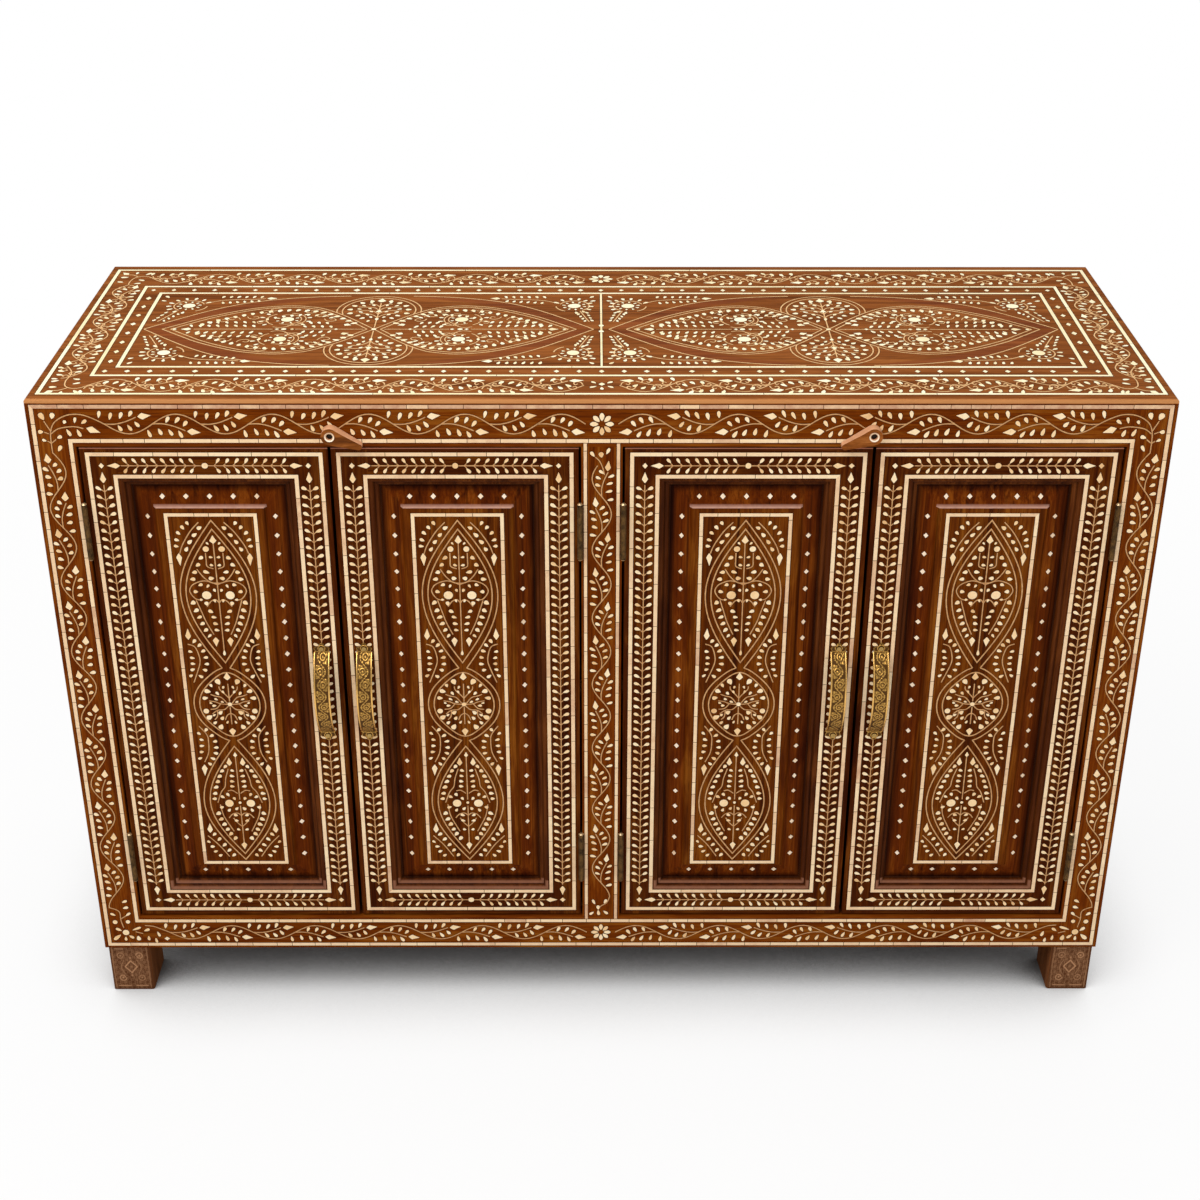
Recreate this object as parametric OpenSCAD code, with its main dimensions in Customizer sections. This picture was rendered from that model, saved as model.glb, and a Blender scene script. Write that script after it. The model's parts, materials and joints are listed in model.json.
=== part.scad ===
// Inlaid hardwood sideboard with a face frame, four framed panel doors and two turn-buttons.
// Millimetres. X runs along the front, Y from front to back, Z up. The floor is Z = 0.

/* [Case] */
// Overall width of the case
case_w = 1400; // [1200:10:1700]
// Depth of the case, without the handles
case_d = 504; // [420:4:600]
// Height from the floor to the top face
case_h = 912; // [820:2:1000]
// Thickness of the side boards
side_t = 22; // [18:1:28]
// Thickness of the back panel
back_t = 12; // [8:1:16]
// Thickness of the bottom board
bottom_t = 20; // [16:1:26]
// Thickness of the upright board between the two cupboards
partition_t = 20; // [16:1:26]

/* [Top] */
// Height of the top's edge that shows above the frame
flange_t = 5; // [4:0.5:8]
// Radius of the rounded upper edge of the top
edge_r = 3; // [1:0.5:3.5]
// Thickness of the top's core, let in between the sides
core_t = 15; // [10:1:22]

/* [Shelves] */
// Thickness of a shelf
shelf_t = 18; // [14:1:24]
// Height of a shelf's top face above the bottom board
shelf_rise = 396; // [250:2:520]
// Distance from the frame's back to a shelf's front edge
shelf_setback = 14; // [13:1:60]
// Width and height of a shelf cleat
cleat = 20; // [12:1:28]

/* [Feet] */
// Height of a foot
foot_h = 80; // [50:1:110]
// Width of a foot
foot_w = 58; // [45:1:80]
// Depth of a foot
foot_d = 70; // [50:1:90]
// Distance from the case's side to the foot
foot_inset_x = 2; // [0:0.5:15]
// Distance from the case's front or back to the foot
foot_inset_y = 6; // [0:0.5:15]
// Radius of a foot's upright corners
foot_r = 4; // [1:0.5:8]

/* [Face frame] */
// Width of the left and right stiles
outer_stile_w = 55.5; // [40:0.5:75]
// Width of the centre stile
centre_stile_w = 51; // [40:0.5:75]
// Height of the top rail
top_rail_h = 57; // [50:0.5:80]
// Height of the bottom rail
bottom_rail_h = 55; // [45:0.5:80]

/* [Doors] */
// Thickness of a door
door_t = 22; // [20:0.5:28]
// Distance of a closed door behind the front of the frame
door_recess = 2; // [1:0.5:5]
// Gap at the hinge side of a door
hinge_gap = 3; // [2.8:0.1:4]
// Gap between the two doors of a pair
meeting_gap = 4; // [2:0.5:6]
// Gap above and below a door
end_gap = 2.5; // [1.5:0.5:4]
// Width of a door's upright stiles
door_stile_w = 44.5; // [38:0.5:60]
// Height of a door's rails
door_rail_w = 42; // [38:0.5:60]
// Gap between a closed door and its stop
stop_gap = 0.3; // [0.2:0.1:1]
// Thickness of a door stop
stop_t = 12; // [8:1:12]
// How far a door stop reaches behind a door
stop_lap = 9; // [5:1:14]

/* [Door panels] */
// Width of the sloping moulding round a panel
moulding_w = 13.5; // [13.5:0.5:18]
// Depth of the panel's outer edge behind the front of the door
recess_depth = 13; // [13:0.5:14]
// Width of a panel's sloping margin
bevel_w = 23.5; // [16:0.5:32]
// Depth of the sloping margin's inner edge
bevel_depth = 6.5; // [4:0.5:9]
// Width of the small step up to the raised field
arris_w = 3.5; // [2:0.5:6]
// Depth of the raised field behind the front of the door
field_depth = 1.5; // [1:0.5:3.5]
// Thickness of the panel's edge in its groove
tongue_t = 6; // [4:0.5:7]
// Depth of the groove that holds a panel
groove_d = 8; // [5:0.5:12]
// Room left round a panel in its groove
groove_play = 0.3; // [0.1:0.1:0.8]

/* [Hinges] */
// Radius of a hinge's barrel
barrel_r = 3.6; // [3.2:0.1:4.4]
// Length of a hinge's barrel
barrel_l = 76; // [60:1:95]
// Gap between a barrel and the face of the frame
barrel_gap = 0.4; // [0.3:0.1:1]
// Radius of a hinge pin
pin_r = 1.5; // [1.2:0.1:1.8]
// Clearance between a pin and its knuckles
pin_fit = 0.05; // [0.03:0.01:0.1]
// Gap between neighbouring knuckles
knuckle_gap = 0.3; // [0.2:0.1:0.6]
// Thickness of a hinge leaf
leaf_t = 1.2; // [1:0.1:1.3]
// Reach of a hinge leaf behind the pin's axis
leaf_reach = 24; // [18:0.5:25]
// Distance from a door's top to the middle of its upper hinge
upper_hinge_drop = 112; // [80:1:160]
// Distance from a door's bottom to the middle of its lower hinge
lower_hinge_rise = 101; // [80:1:160]

/* [Screws] */
// Radius of a hinge screw's shank
hinge_screw_r = 1.4; // [1.1:0.1:1.6]
// Radius of a hinge screw's head
hinge_head_r = 2.6; // [2.2:0.1:3]
// Length of a hinge screw
hinge_screw_l = 16; // [12:1:20]
// Distance of a hinge screw from the middle of its hinge
hinge_screw_z = 24; // [16:1:28]
// Clearance round a screw in its hole
screw_fit = 0.05; // [0.03:0.01:0.2]

/* [Handles] */
// Length of a handle over its two feet
handle_l = 146; // [120:1:170]
// Width of a handle's strap
handle_w = 21; // [16:0.5:24]
// Thickness of the strap and its feet
handle_t = 2.6; // [2:0.1:3.2]
// Length of the flat foot at each end of a handle
handle_foot = 14; // [12:0.5:18]
// How far a handle stands out from its door
handle_out = 28.5; // [24:0.5:29.5]
// Distance from a door's meeting edge to the middle of its handle
handle_edge = 25.5; // [20:0.5:30]
// Height of the middle of a handle above the door's bottom
handle_rise = 362; // [300:1:420]
// Radius of a handle screw's shank
handle_screw_r = 1.6; // [1.3:0.1:2]
// Radius of a handle screw's head
handle_head_r = 3; // [2.4:0.1:4]
// Height of a handle screw's head
handle_head_h = 1.3; // [1:0.1:2]
// Length of a handle screw behind its head
handle_screw_l = 16; // [12:1:20]

/* [Turn-buttons] */
// Radius of a turn-button's head
button_head_r = 10.5; // [9:0.5:13]
// Radius of a turn-button's tip
button_tip_r = 4; // [3:0.5:6]
// Distance from the pivot to the middle of the tip
button_l = 37.5; // [30:0.5:44]
// Thickness of a turn-button at its head, over the washer
button_t = 15; // [12:0.5:18]
// Thickness of a turn-button at its tip
button_tip_t = 10; // [7:0.5:11]
// Distance of the pivot from the middle of the gap between the doors
button_offset = 4; // [0:0.5:8]
// Height of the pivot above the opening
button_rise = 19; // [17:0.5:24]
// Angle of the tail below level, as the turn-button is left
button_rest = 24; // [0:1:24]
// Radius of the turn-button's pivot hole
button_bore_r = 2.2; // [1.8:0.1:2.8]
// Radius of the counterbore over the pivot screw
counterbore_r = 4; // [3.8:0.1:5]
// Depth of the counterbore
counterbore_d = 6; // [4:0.5:8]
// Thickness of the washer behind a turn-button
washer_t = 0.8; // [0.5:0.1:1.5]
// Radius of the washer behind a turn-button
washer_r = 8; // [6:0.5:9]

/* [Hidden] */
$fn = 48;
// How far the handles stand in front of the case
proud = handle_out - door_recess;
// The origin is under the middle of the whole piece, handles included
front_y = -(case_d - proud) / 2;
back_y = (case_d + proud) / 2;
frame_t = door_recess + door_t + stop_gap;
frame_back = front_y + frame_t;
inner_back = back_y - back_t;
side_in = case_w / 2 - side_t;
flange_z = case_h - flange_t;
core_z = flange_z - core_t;
floor_z = foot_h + bottom_t;
shelf_z = floor_z + shelf_rise;
shelf_front = frame_back + shelf_setback;
open_out = case_w / 2 - outer_stile_w;
open_in = centre_stile_w / 2;
open_z0 = foot_h + bottom_rail_h;
open_z1 = flange_z - top_rail_h;
door_w = (open_out - open_in - 2 * hinge_gap - meeting_gap) / 2;
door_h = open_z1 - open_z0 - 2 * end_gap;
meeting_x = (open_out + open_in) / 2;
field_in = moulding_w + bevel_w + arris_w;
axis_x = -hinge_gap / 2;
axis_y = -door_recess - barrel_r - barrel_gap;
knuckle_l = barrel_l / 3;
hinge_zs = [lower_hinge_rise, door_h - upper_hinge_drop];
bore_r = pin_r + pin_fit;
finial_h = 2;
leaf_root = 2.2;
cut_r = barrel_r + knuckle_gap;
leaf_mid_y = door_t / 2;
bow_chord = handle_l / 2 - handle_foot;
bow_rise = handle_out - handle_t;
bow_r = (bow_chord * bow_chord + bow_rise * bow_rise) / (2 * bow_rise);
bow_y = bow_r - bow_rise;
handle_screw_z = handle_l / 2 - handle_foot / 2;
mitre_gap = 0.1;
button_gap = 0.1;
button_screw_r = button_bore_r - pin_fit;
button_screw_l = 18;
button_head_h = 2.4;
overrun = 1;

case_wood = [0.55, 0.30, 0.13];
top_wood = [0.62, 0.36, 0.18];
door_wood = [0.45, 0.21, 0.09];
panel_wood = [0.50, 0.25, 0.11];
inner_wood = [0.48, 0.30, 0.17];
bright_brass = [0.72, 0.56, 0.24];
dull_brass = [0.45, 0.38, 0.24];
steel = [0.75, 0.75, 0.74];

// Helpers: each span is a low and a high value
module board(x, y, z) {
    translate([x[0], y[0], z[0]])
        cube([x[1] - x[0], y[1] - y[0], z[1] - z[0]]);
}

// A flat shape drawn in X and Z, extruded along Y
module along_y(y) {
    translate([0, y[1], 0])
        rotate([90, 0, 0])
            linear_extrude(height = y[1] - y[0])
                children();
}

// A flat shape drawn in Y and Z, extruded along X
module along_x(x) {
    translate([x[0], 0, 0])
        rotate([90, 0, 90])
            linear_extrude(height = x[1] - x[0])
                children();
}

// A cylinder along +X from the origin
module rod_x(r, l) {
    rotate([0, 90, 0])
        cylinder(r = r, h = l);
}

// A cylinder along +Y from the origin
module rod_y(r, l) {
    rotate([-90, 0, 0])
        cylinder(r = r, h = l);
}

module mirrored_pair() {
    children();
    mirror([1, 0, 0])
        children();
}

function arc(c, r, a0, a1, n) = [
    for (i = [0:n]) [c[0] + r * cos(a0 + (a1 - a0) * i / n), c[1] + r * sin(a0 + (a1 - a0) * i / n)]
];

// Case
// A rectangle whose two upper corners are rounded
module edged(u, h, r) {
    translate([u[0], 0])
        square([u[1] - u[0], h - r]);
    translate([u[0] + r, 0])
        square([u[1] - u[0] - 2 * r, h]);
    intersection() {
        for (c = [u[0] + r, u[1] - r])
            translate([c, h - r])
                circle(r);
        translate([u[0], 0])
            square([u[1] - u[0], h]);
    }
}

module top_board() color(top_wood) {
    translate([0, 0, flange_z])
        intersection() {
            along_y([front_y, back_y])
                edged([-case_w / 2, case_w / 2], flange_t, edge_r);
            along_x([-case_w / 2, case_w / 2])
                edged([front_y, back_y], flange_t, edge_r);
        }
    board([-side_in, side_in], [frame_back, inner_back], [core_z, flange_z]);
}

module side_board() {
    board([side_in, case_w / 2], [frame_back, back_y], [foot_h, flange_z]);
}

module left_side() color(case_wood)
    mirror([1, 0, 0])
        side_board();

module right_side() color(case_wood)
    side_board();

module bottom_board() color(inner_wood)
    board([-side_in, side_in], [frame_back, inner_back], [foot_h, floor_z]);

module back_panel() color(inner_wood)
    board([-side_in, side_in], [inner_back, back_y], [foot_h, flange_z]);

module centre_partition() color(inner_wood)
    board([-partition_t / 2, partition_t / 2], [frame_back, inner_back], [floor_z, core_z]);

module shelf() {
    board([partition_t / 2, side_in], [shelf_front, inner_back], [shelf_z - shelf_t, shelf_z]);
}

module left_shelf() color(inner_wood)
    mirror([1, 0, 0])
        shelf();

module right_shelf() color(inner_wood)
    shelf();

module shelf_cleats() color(inner_wood)
    mirrored_pair()
        for (x = [partition_t / 2, side_in - cleat])
            board([x, x + cleat], [shelf_front + cleat, inner_back],
                  [shelf_z - shelf_t - cleat, shelf_z - shelf_t]);

module foot() {
    x0 = case_w / 2 - foot_inset_x - foot_w;
    y0 = front_y + foot_inset_y;
    board([x0 + foot_r, x0 + foot_w - foot_r], [y0, y0 + foot_d], [0, foot_h]);
    board([x0, x0 + foot_w], [y0 + foot_r, y0 + foot_d - foot_r], [0, foot_h]);
    for (x = [x0 + foot_r, x0 + foot_w - foot_r], y = [y0 + foot_r, y0 + foot_d - foot_r])
        translate([x, y, 0])
            cylinder(r = foot_r, h = foot_h);
}

module at_back() {
    translate([0, front_y + back_y, 0])
        mirror([0, 1, 0])
            children();
}

module front_left_foot() color(case_wood)
    mirror([1, 0, 0])
        foot();

module front_right_foot() color(case_wood)
    foot();

module back_left_foot() color(case_wood)
    at_back()
        mirror([1, 0, 0])
            foot();

module back_right_foot() color(case_wood)
    at_back()
        foot();

// Face frame
module frame_rail(z) color(case_wood) {
    difference() {
        board([-open_out, open_out], [front_y, frame_back], z);
        mirrored_pair()
            at_button()
                rod_y(button_screw_r + screw_fit, button_screw_l + overrun);
    }
}

module frame_top_rail() frame_rail([open_z1, flange_z]);

module frame_bottom_rail() frame_rail([foot_h, open_z0]);

module frame_right_stile() color(case_wood)
    difference() {
        board([open_out, case_w / 2], [front_y, frame_back], [foot_h, flange_z]);
        at_door(3)
            frame_screw_holes();
    }

module frame_left_stile() color(case_wood)
    difference() {
        board([-case_w / 2, -open_out], [front_y, frame_back], [foot_h, flange_z]);
        at_door(0)
            frame_screw_holes();
    }

module frame_centre_stile() color(case_wood)
    difference() {
        board([-open_in, open_in], [front_y, frame_back], [open_z0, open_z1]);
        for (i = [1, 2])
            at_door(i)
                frame_screw_holes();
    }

module door_stops() color(inner_wood) {
    lap = end_gap + stop_lap;
    mirrored_pair() {
        board([partition_t / 2, side_in], [frame_back, frame_back + stop_t],
              [open_z1 - lap, open_z1 + 2 * stop_t]);
        board([partition_t / 2, side_in], [frame_back, frame_back + stop_t],
              [open_z0 - 2 * stop_t, open_z0 + lap]);
    }
}

// Doors, numbered 0 to 3 from the left. A door is drawn with its hinge edge at X = 0, its front
// at Y = 0 and its bottom at Z = 0, and is mirrored where it is hinged on its right
module at_door(i) {
    out = i == 0 || i == 3;
    left_half = i < 2;
    x = out ? open_out - hinge_gap : open_in + hinge_gap;
    turned = i == 1 || i == 3;
    translate([left_half ? -x : x, front_y + door_recess, open_z0 + end_gap])
        mirror([turned ? 1 : 0, 0, 0])
            children();
}

// The groove that takes the panel's edge
module panel_groove() {
    board([door_stile_w - groove_d, door_w - door_stile_w + groove_d],
          [recess_depth - groove_play, recess_depth + tongue_t + groove_play],
          [door_rail_w - groove_d, door_h - door_rail_w + groove_d]);
}

module door_stiles(i) color(door_wood)
    at_door(i)
        difference() {
            for (x = [0, door_w - door_stile_w])
                board([x, x + door_stile_w], [0, door_t], [0, door_h]);
            panel_groove();
            door_screw_holes();
            at_handle()
                handle_screw_holes();
        }

module door_rails(i) color(door_wood)
    at_door(i)
        difference() {
            for (z = [0, door_h - door_rail_w])
                board([door_stile_w, door_w - door_stile_w], [0, door_t], [z, z + door_rail_w]);
            panel_groove();
        }

// Half the panel's section: u runs in from the frame's sight edge, depth is behind the front
function panel_half(sight) = [
    [sight - groove_d + groove_play, recess_depth + tongue_t],
    [sight - groove_d + groove_play, recess_depth],
    [sight + moulding_w, recess_depth],
    [sight + moulding_w + bevel_w, bevel_depth],
    [sight + field_in, field_depth]
];

function panel_section(sight, size) = concat(
    panel_half(sight),
    [for (i = [4:-1:0]) [size - panel_half(sight)[i][0], panel_half(sight)[i][1]]]
);

module door_panel(i) color(panel_wood)
    at_door(i)
        intersection() {
            linear_extrude(height = door_h)
                polygon(panel_section(door_stile_w, door_w));
            along_x([0, door_w])
                polygon([for (p = panel_section(door_rail_w, door_h)) [p[1], p[0]]]);
        }

// The moulding's section: two rounded steps from the front down to the panel
function moulding_section() = let (lip = 1.5, r1 = 4, r2 = 5, top = 0.6, step = 1.4, ledge = 1.2) concat(
    [[0, top]],
    arc([lip, top + r1], r1, -90, 0, 6),
    arc([lip + r1 + ledge, top + r1 + step + r2], r2, -90, 0, 6),
    [[moulding_w, recess_depth - 1], [moulding_w, recess_depth], [0, recess_depth]]
);

// One length of moulding on the sight edge X = 0, from Z = 0 to l, mitred at both ends
module moulding_length(l) {
    intersection() {
        linear_extrude(height = l)
            polygon(moulding_section());
        along_y([0, recess_depth])
            polygon([[0, mitre_gap], [moulding_w, moulding_w + mitre_gap],
                     [moulding_w, l - moulding_w - mitre_gap], [0, l - mitre_gap]]);
    }
}

module door_moulding(i) color(door_wood) {
    w = door_w - 2 * door_stile_w;
    h = door_h - 2 * door_rail_w;
    at_door(i)
        translate([door_stile_w, 0, door_rail_w]) {
            moulding_length(h);
            translate([w, 0, 0])
                mirror([1, 0, 0])
                    moulding_length(h);
            for (z = [0, h])
                translate([0, 0, z])
                    mirror([0, 0, z > 0 ? 1 : 0])
                        translate([w, 0, 0])
                            rotate([0, -90, 0])
                                moulding_length(w);
        }
}

// Hinges, drawn about the pin's axis with Z = 0 at the middle of the barrel
module at_hinges() {
    for (z = hinge_zs)
        translate([axis_x, axis_y, z])
            children();
}

module knuckle(z0, z1) {
    translate([0, 0, z0])
        difference() {
            cylinder(r = barrel_r, h = z1 - z0);
            translate([0, 0, -overrun])
                cylinder(r = bore_r, h = z1 - z0 + 2 * overrun);
        }
}

module leaf_plate(x0) {
    board([x0, x0 + leaf_t], [leaf_root, leaf_reach], [-barrel_l / 2, barrel_l / 2]);
}

module knuckle_room(z0, z1) {
    translate([0, 0, z0])
        cylinder(r = cut_r, h = z1 - z0);
}

// Two screw holes in a leaf, with room for their heads. side is -1 for the frame's leaf
module leaf_screw_holes(side) {
    for (z = [-hinge_screw_z, hinge_screw_z])
        translate([side * (hinge_gap / 2 - leaf_t), leaf_mid_y - axis_y, z])
            mirror([side < 0 ? 1 : 0, 0, 0]) {
                rod_x(hinge_screw_r + screw_fit, hinge_screw_l + overrun);
                rotate([0, 90, 0])
                    cylinder(r1 = hinge_head_r + screw_fit, r2 = hinge_screw_r + screw_fit, h = leaf_t);
            }
}

module frame_leaf() {
    z1 = knuckle_l / 2;
    difference() {
        union() {
            difference() {
                leaf_plate(-hinge_gap / 2);
                knuckle_room(-z1 - knuckle_gap, z1 + knuckle_gap);
            }
            knuckle(z1 + knuckle_gap / 2, barrel_l / 2);
            knuckle(-barrel_l / 2, -z1 - knuckle_gap / 2);
        }
        leaf_screw_holes(-1);
    }
}

module door_leaf() {
    z1 = knuckle_l / 2;
    difference() {
        union() {
            difference() {
                leaf_plate(hinge_gap / 2 - leaf_t);
                knuckle_room(z1 - knuckle_gap, barrel_l / 2 + overrun);
                knuckle_room(-barrel_l / 2 - overrun, -z1 + knuckle_gap);
            }
            knuckle(-z1 + knuckle_gap / 2, z1 - knuckle_gap / 2);
        }
        leaf_screw_holes(1);
    }
}

module hinge_screw() {
    rod_x(hinge_screw_r, hinge_screw_l);
    rotate([0, 90, 0])
        cylinder(r1 = hinge_head_r, r2 = hinge_screw_r, h = leaf_t);
}

// side is -1 for the screws that go into the frame
module hinge_screws(side) {
    at_hinges()
        for (z = [-hinge_screw_z, hinge_screw_z])
            translate([side * (hinge_gap / 2 - leaf_t), leaf_mid_y - axis_y, z])
                mirror([side < 0 ? 1 : 0, 0, 0])
                    hinge_screw();
}

module frame_screw_holes() {
    at_hinges()
        leaf_screw_holes(-1);
}

module door_screw_holes() {
    at_hinges()
        leaf_screw_holes(1);
}

module frame_hinge_leaves() color(dull_brass)
    for (i = [0:3])
        at_door(i)
            at_hinges()
                frame_leaf();

module frame_hinge_screws() color(steel)
    for (i = [0:3])
        at_door(i)
            hinge_screws(-1);

module hinge_pin() {
    cylinder(r = pin_r, h = barrel_l + finial_h, center = true);
    for (up = [0, 1])
        mirror([0, 0, up])
            translate([0, 0, barrel_l / 2])
                cylinder(r1 = barrel_r, r2 = barrel_r / 2, h = finial_h);
}

module hinge_pins() color(dull_brass)
    for (i = [0:3])
        at_door(i)
            at_hinges()
                hinge_pin();

module door_hinge_leaves(i) color(dull_brass)
    at_door(i)
        at_hinges()
            door_leaf();

module door_hinge_screws(i) color(steel)
    at_door(i)
        hinge_screws(1);

// Handles, drawn about the middle of the handle on the door's face
module at_handle() {
    translate([door_w - handle_edge, 0, handle_rise])
        children();
}

module handle_screw_holes() {
    for (z = [-handle_screw_z, handle_screw_z])
        translate([0, -handle_t - overrun, z])
            rod_y(handle_screw_r + screw_fit, handle_screw_l + 2 * overrun);
}

// The strap's bow: a ring cut off in front of the door's face
module bow_outline() {
    intersection() {
        difference() {
            translate([bow_y, 0])
                circle(r = bow_r + handle_t, $fn = 180);
            translate([bow_y, 0])
                circle(r = bow_r, $fn = 180);
        }
        translate([-handle_out, -handle_l / 2])
            square([handle_out, handle_l]);
    }
}

module door_handle(i) color(bright_brass)
    at_door(i)
        at_handle()
            difference() {
                along_x([-handle_w / 2, handle_w / 2]) {
                    bow_outline();
                    for (z = [-handle_l / 2, handle_l / 2 - handle_foot - handle_t])
                        translate([-handle_t, z])
                            square([handle_t, handle_foot + handle_t]);
                }
                handle_screw_holes();
            }

module door_handle_screws(i) color(steel)
    at_door(i)
        at_handle()
            for (z = [-handle_screw_z, handle_screw_z])
                translate([0, -handle_t, z]) {
                    rod_y(handle_screw_r, handle_screw_l);
                    translate([0, -handle_head_h, 0])
                        rod_y(handle_head_r, handle_head_h);
                }

// Turn-buttons, drawn about the pivot with the tail along +X and the frame's front at Y = 0
module at_button() {
    translate([-meeting_x + button_offset, front_y, open_z1 + button_rise])
        rotate([0, button_rest, 0])
            children();
}

module button_outline() {
    a = acos((button_head_r - button_tip_r) / button_l);
    circle(button_head_r);
    translate([button_l, 0])
        circle(button_tip_r);
    polygon([
        button_head_r * [cos(a), sin(a)], button_head_r * [cos(a), -sin(a)],
        [button_l + button_tip_r * cos(a), -button_tip_r * sin(a)],
        [button_l + button_tip_r * cos(a), button_tip_r * sin(a)]
    ]);
}

module turn_button() {
    slope = atan((button_t - button_tip_t) / (button_l + button_tip_r - button_head_r));
    difference() {
        along_y([-button_t, -washer_t - button_gap])
            button_outline();
        translate([button_head_r, -button_t, 0])
            rotate([0, 0, slope])
                board([0, 2 * button_l], [-button_t, 0], [-2 * button_head_r, 2 * button_head_r]);
        translate([0, -button_t - overrun, 0])
            rod_y(button_bore_r, button_t + 2 * overrun);
        translate([0, -button_t - overrun, 0])
            rod_y(counterbore_r, counterbore_d + overrun);
    }
}

module left_turn_button() color(door_wood)
    at_button()
        turn_button();

module right_turn_button() color(door_wood)
    mirror([1, 0, 0])
        at_button()
            turn_button();

module turn_button_screws() color(steel) {
    seat = -button_t + counterbore_d - button_gap;
    mirrored_pair()
        at_button() {
            translate([0, seat, 0])
                rod_y(button_screw_r, button_screw_l - seat);
            translate([0, seat - button_head_h, 0])
                rod_y(counterbore_r - 4 * button_gap, button_head_h);
        }
}

module turn_button_washers() color(dull_brass)
    mirrored_pair()
        at_button()
            difference() {
                translate([0, -washer_t, 0])
                    rod_y(washer_r, washer_t);
                translate([0, -washer_t - overrun, 0])
                    rod_y(button_bore_r, washer_t + 2 * overrun);
            }

top_board();
left_side();
right_side();
bottom_board();
back_panel();
centre_partition();
left_shelf();
right_shelf();
shelf_cleats();
frame_top_rail();
frame_bottom_rail();
frame_left_stile();
frame_centre_stile();
frame_right_stile();
door_stops();
front_left_foot();
front_right_foot();
back_left_foot();
back_right_foot();
frame_hinge_leaves();
frame_hinge_screws();
hinge_pins();
left_turn_button();
right_turn_button();
turn_button_screws();
turn_button_washers();
door_stiles(0);  // left_outer_door_stiles
door_rails(0);  // left_outer_door_rails
door_panel(0);  // left_outer_door_panel
door_moulding(0);  // left_outer_door_moulding
door_handle(0);  // left_outer_door_handle
door_handle_screws(0);  // left_outer_door_handle_screws
door_hinge_leaves(0);  // left_outer_door_hinge_leaves
door_hinge_screws(0);  // left_outer_door_hinge_screws
door_stiles(1);  // left_inner_door_stiles
door_rails(1);  // left_inner_door_rails
door_panel(1);  // left_inner_door_panel
door_moulding(1);  // left_inner_door_moulding
door_handle(1);  // left_inner_door_handle
door_handle_screws(1);  // left_inner_door_handle_screws
door_hinge_leaves(1);  // left_inner_door_hinge_leaves
door_hinge_screws(1);  // left_inner_door_hinge_screws
door_stiles(2);  // right_inner_door_stiles
door_rails(2);  // right_inner_door_rails
door_panel(2);  // right_inner_door_panel
door_moulding(2);  // right_inner_door_moulding
door_handle(2);  // right_inner_door_handle
door_handle_screws(2);  // right_inner_door_handle_screws
door_hinge_leaves(2);  // right_inner_door_hinge_leaves
door_hinge_screws(2);  // right_inner_door_hinge_screws
door_stiles(3);  // right_outer_door_stiles
door_rails(3);  // right_outer_door_rails
door_panel(3);  // right_outer_door_panel
door_moulding(3);  // right_outer_door_moulding
door_handle(3);  // right_outer_door_handle
door_handle_screws(3);  // right_outer_door_handle_screws
door_hinge_leaves(3);  // right_outer_door_hinge_leaves
door_hinge_screws(3);  // right_outer_door_hinge_screws
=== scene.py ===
"""Dresses the inlaid hardwood sideboard: woods, brass, bone inlay, embossed handles and carved feet."""

import json
import logging
import math
import random
from dataclasses import dataclass, field, replace
from enum import Enum
from typing import Any, Iterable, Sequence

import bpy
import numpy as np
from mathutils import Matrix, Vector

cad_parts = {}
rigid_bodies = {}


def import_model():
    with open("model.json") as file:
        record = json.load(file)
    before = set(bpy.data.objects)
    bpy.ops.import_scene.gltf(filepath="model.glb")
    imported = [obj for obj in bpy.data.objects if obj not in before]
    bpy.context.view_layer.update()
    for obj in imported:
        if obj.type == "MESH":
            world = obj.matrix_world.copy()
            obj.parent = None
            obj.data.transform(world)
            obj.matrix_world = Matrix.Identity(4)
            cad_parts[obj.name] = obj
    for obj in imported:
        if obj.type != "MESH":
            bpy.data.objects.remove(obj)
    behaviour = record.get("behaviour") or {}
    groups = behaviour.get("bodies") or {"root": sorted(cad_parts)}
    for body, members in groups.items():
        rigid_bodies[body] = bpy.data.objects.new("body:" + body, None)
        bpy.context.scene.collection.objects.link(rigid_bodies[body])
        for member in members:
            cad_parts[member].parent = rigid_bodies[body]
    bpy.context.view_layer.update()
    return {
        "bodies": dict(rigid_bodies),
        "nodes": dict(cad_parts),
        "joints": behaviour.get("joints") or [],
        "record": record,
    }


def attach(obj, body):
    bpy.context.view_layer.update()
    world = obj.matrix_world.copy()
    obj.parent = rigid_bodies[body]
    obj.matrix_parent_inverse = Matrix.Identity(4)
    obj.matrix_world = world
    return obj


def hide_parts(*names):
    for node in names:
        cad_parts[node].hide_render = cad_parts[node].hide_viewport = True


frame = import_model()

LOG = logging.getLogger("sideboard")
MM = 0.001
SEED = 7

# The case as the model has it, in millimetres
FRONT_Y = -238.75
BACK_Y = 265.25
TOP_Z = 912.0
MID_Y = (FRONT_Y + BACK_Y) / 2
DOOR_RECESS = 2.0
DOOR_Z = 492.5
DOOR_TOP = 847.5
DOOR_BACK = 24

# Painted shade in the wood's recesses, by depth along Y, each as from, to and tint
# The doors' edges are darkened in the gap round each door and lifted again on their backs
DOOR_PAINTED_SHADE = ((FRONT_Y + 3.0, FRONT_Y + 4.6, (0.40, 0.36, 0.36)),
                (FRONT_Y + DOOR_BACK - 0.6, FRONT_Y + DOOR_BACK - 0.1, (2.5, 2.78, 2.78)))
# The panels' slopes are darkened a little, and a dark line is painted round each panel
PANEL_PAINTED_SHADE = ((FRONT_Y + 4.2, FRONT_Y + 8.0, (0.95, 0.78, 0.70)),
                 (FRONT_Y + 12.6, FRONT_Y + 14.8, (0.30, 0.26, 0.26)))
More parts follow.
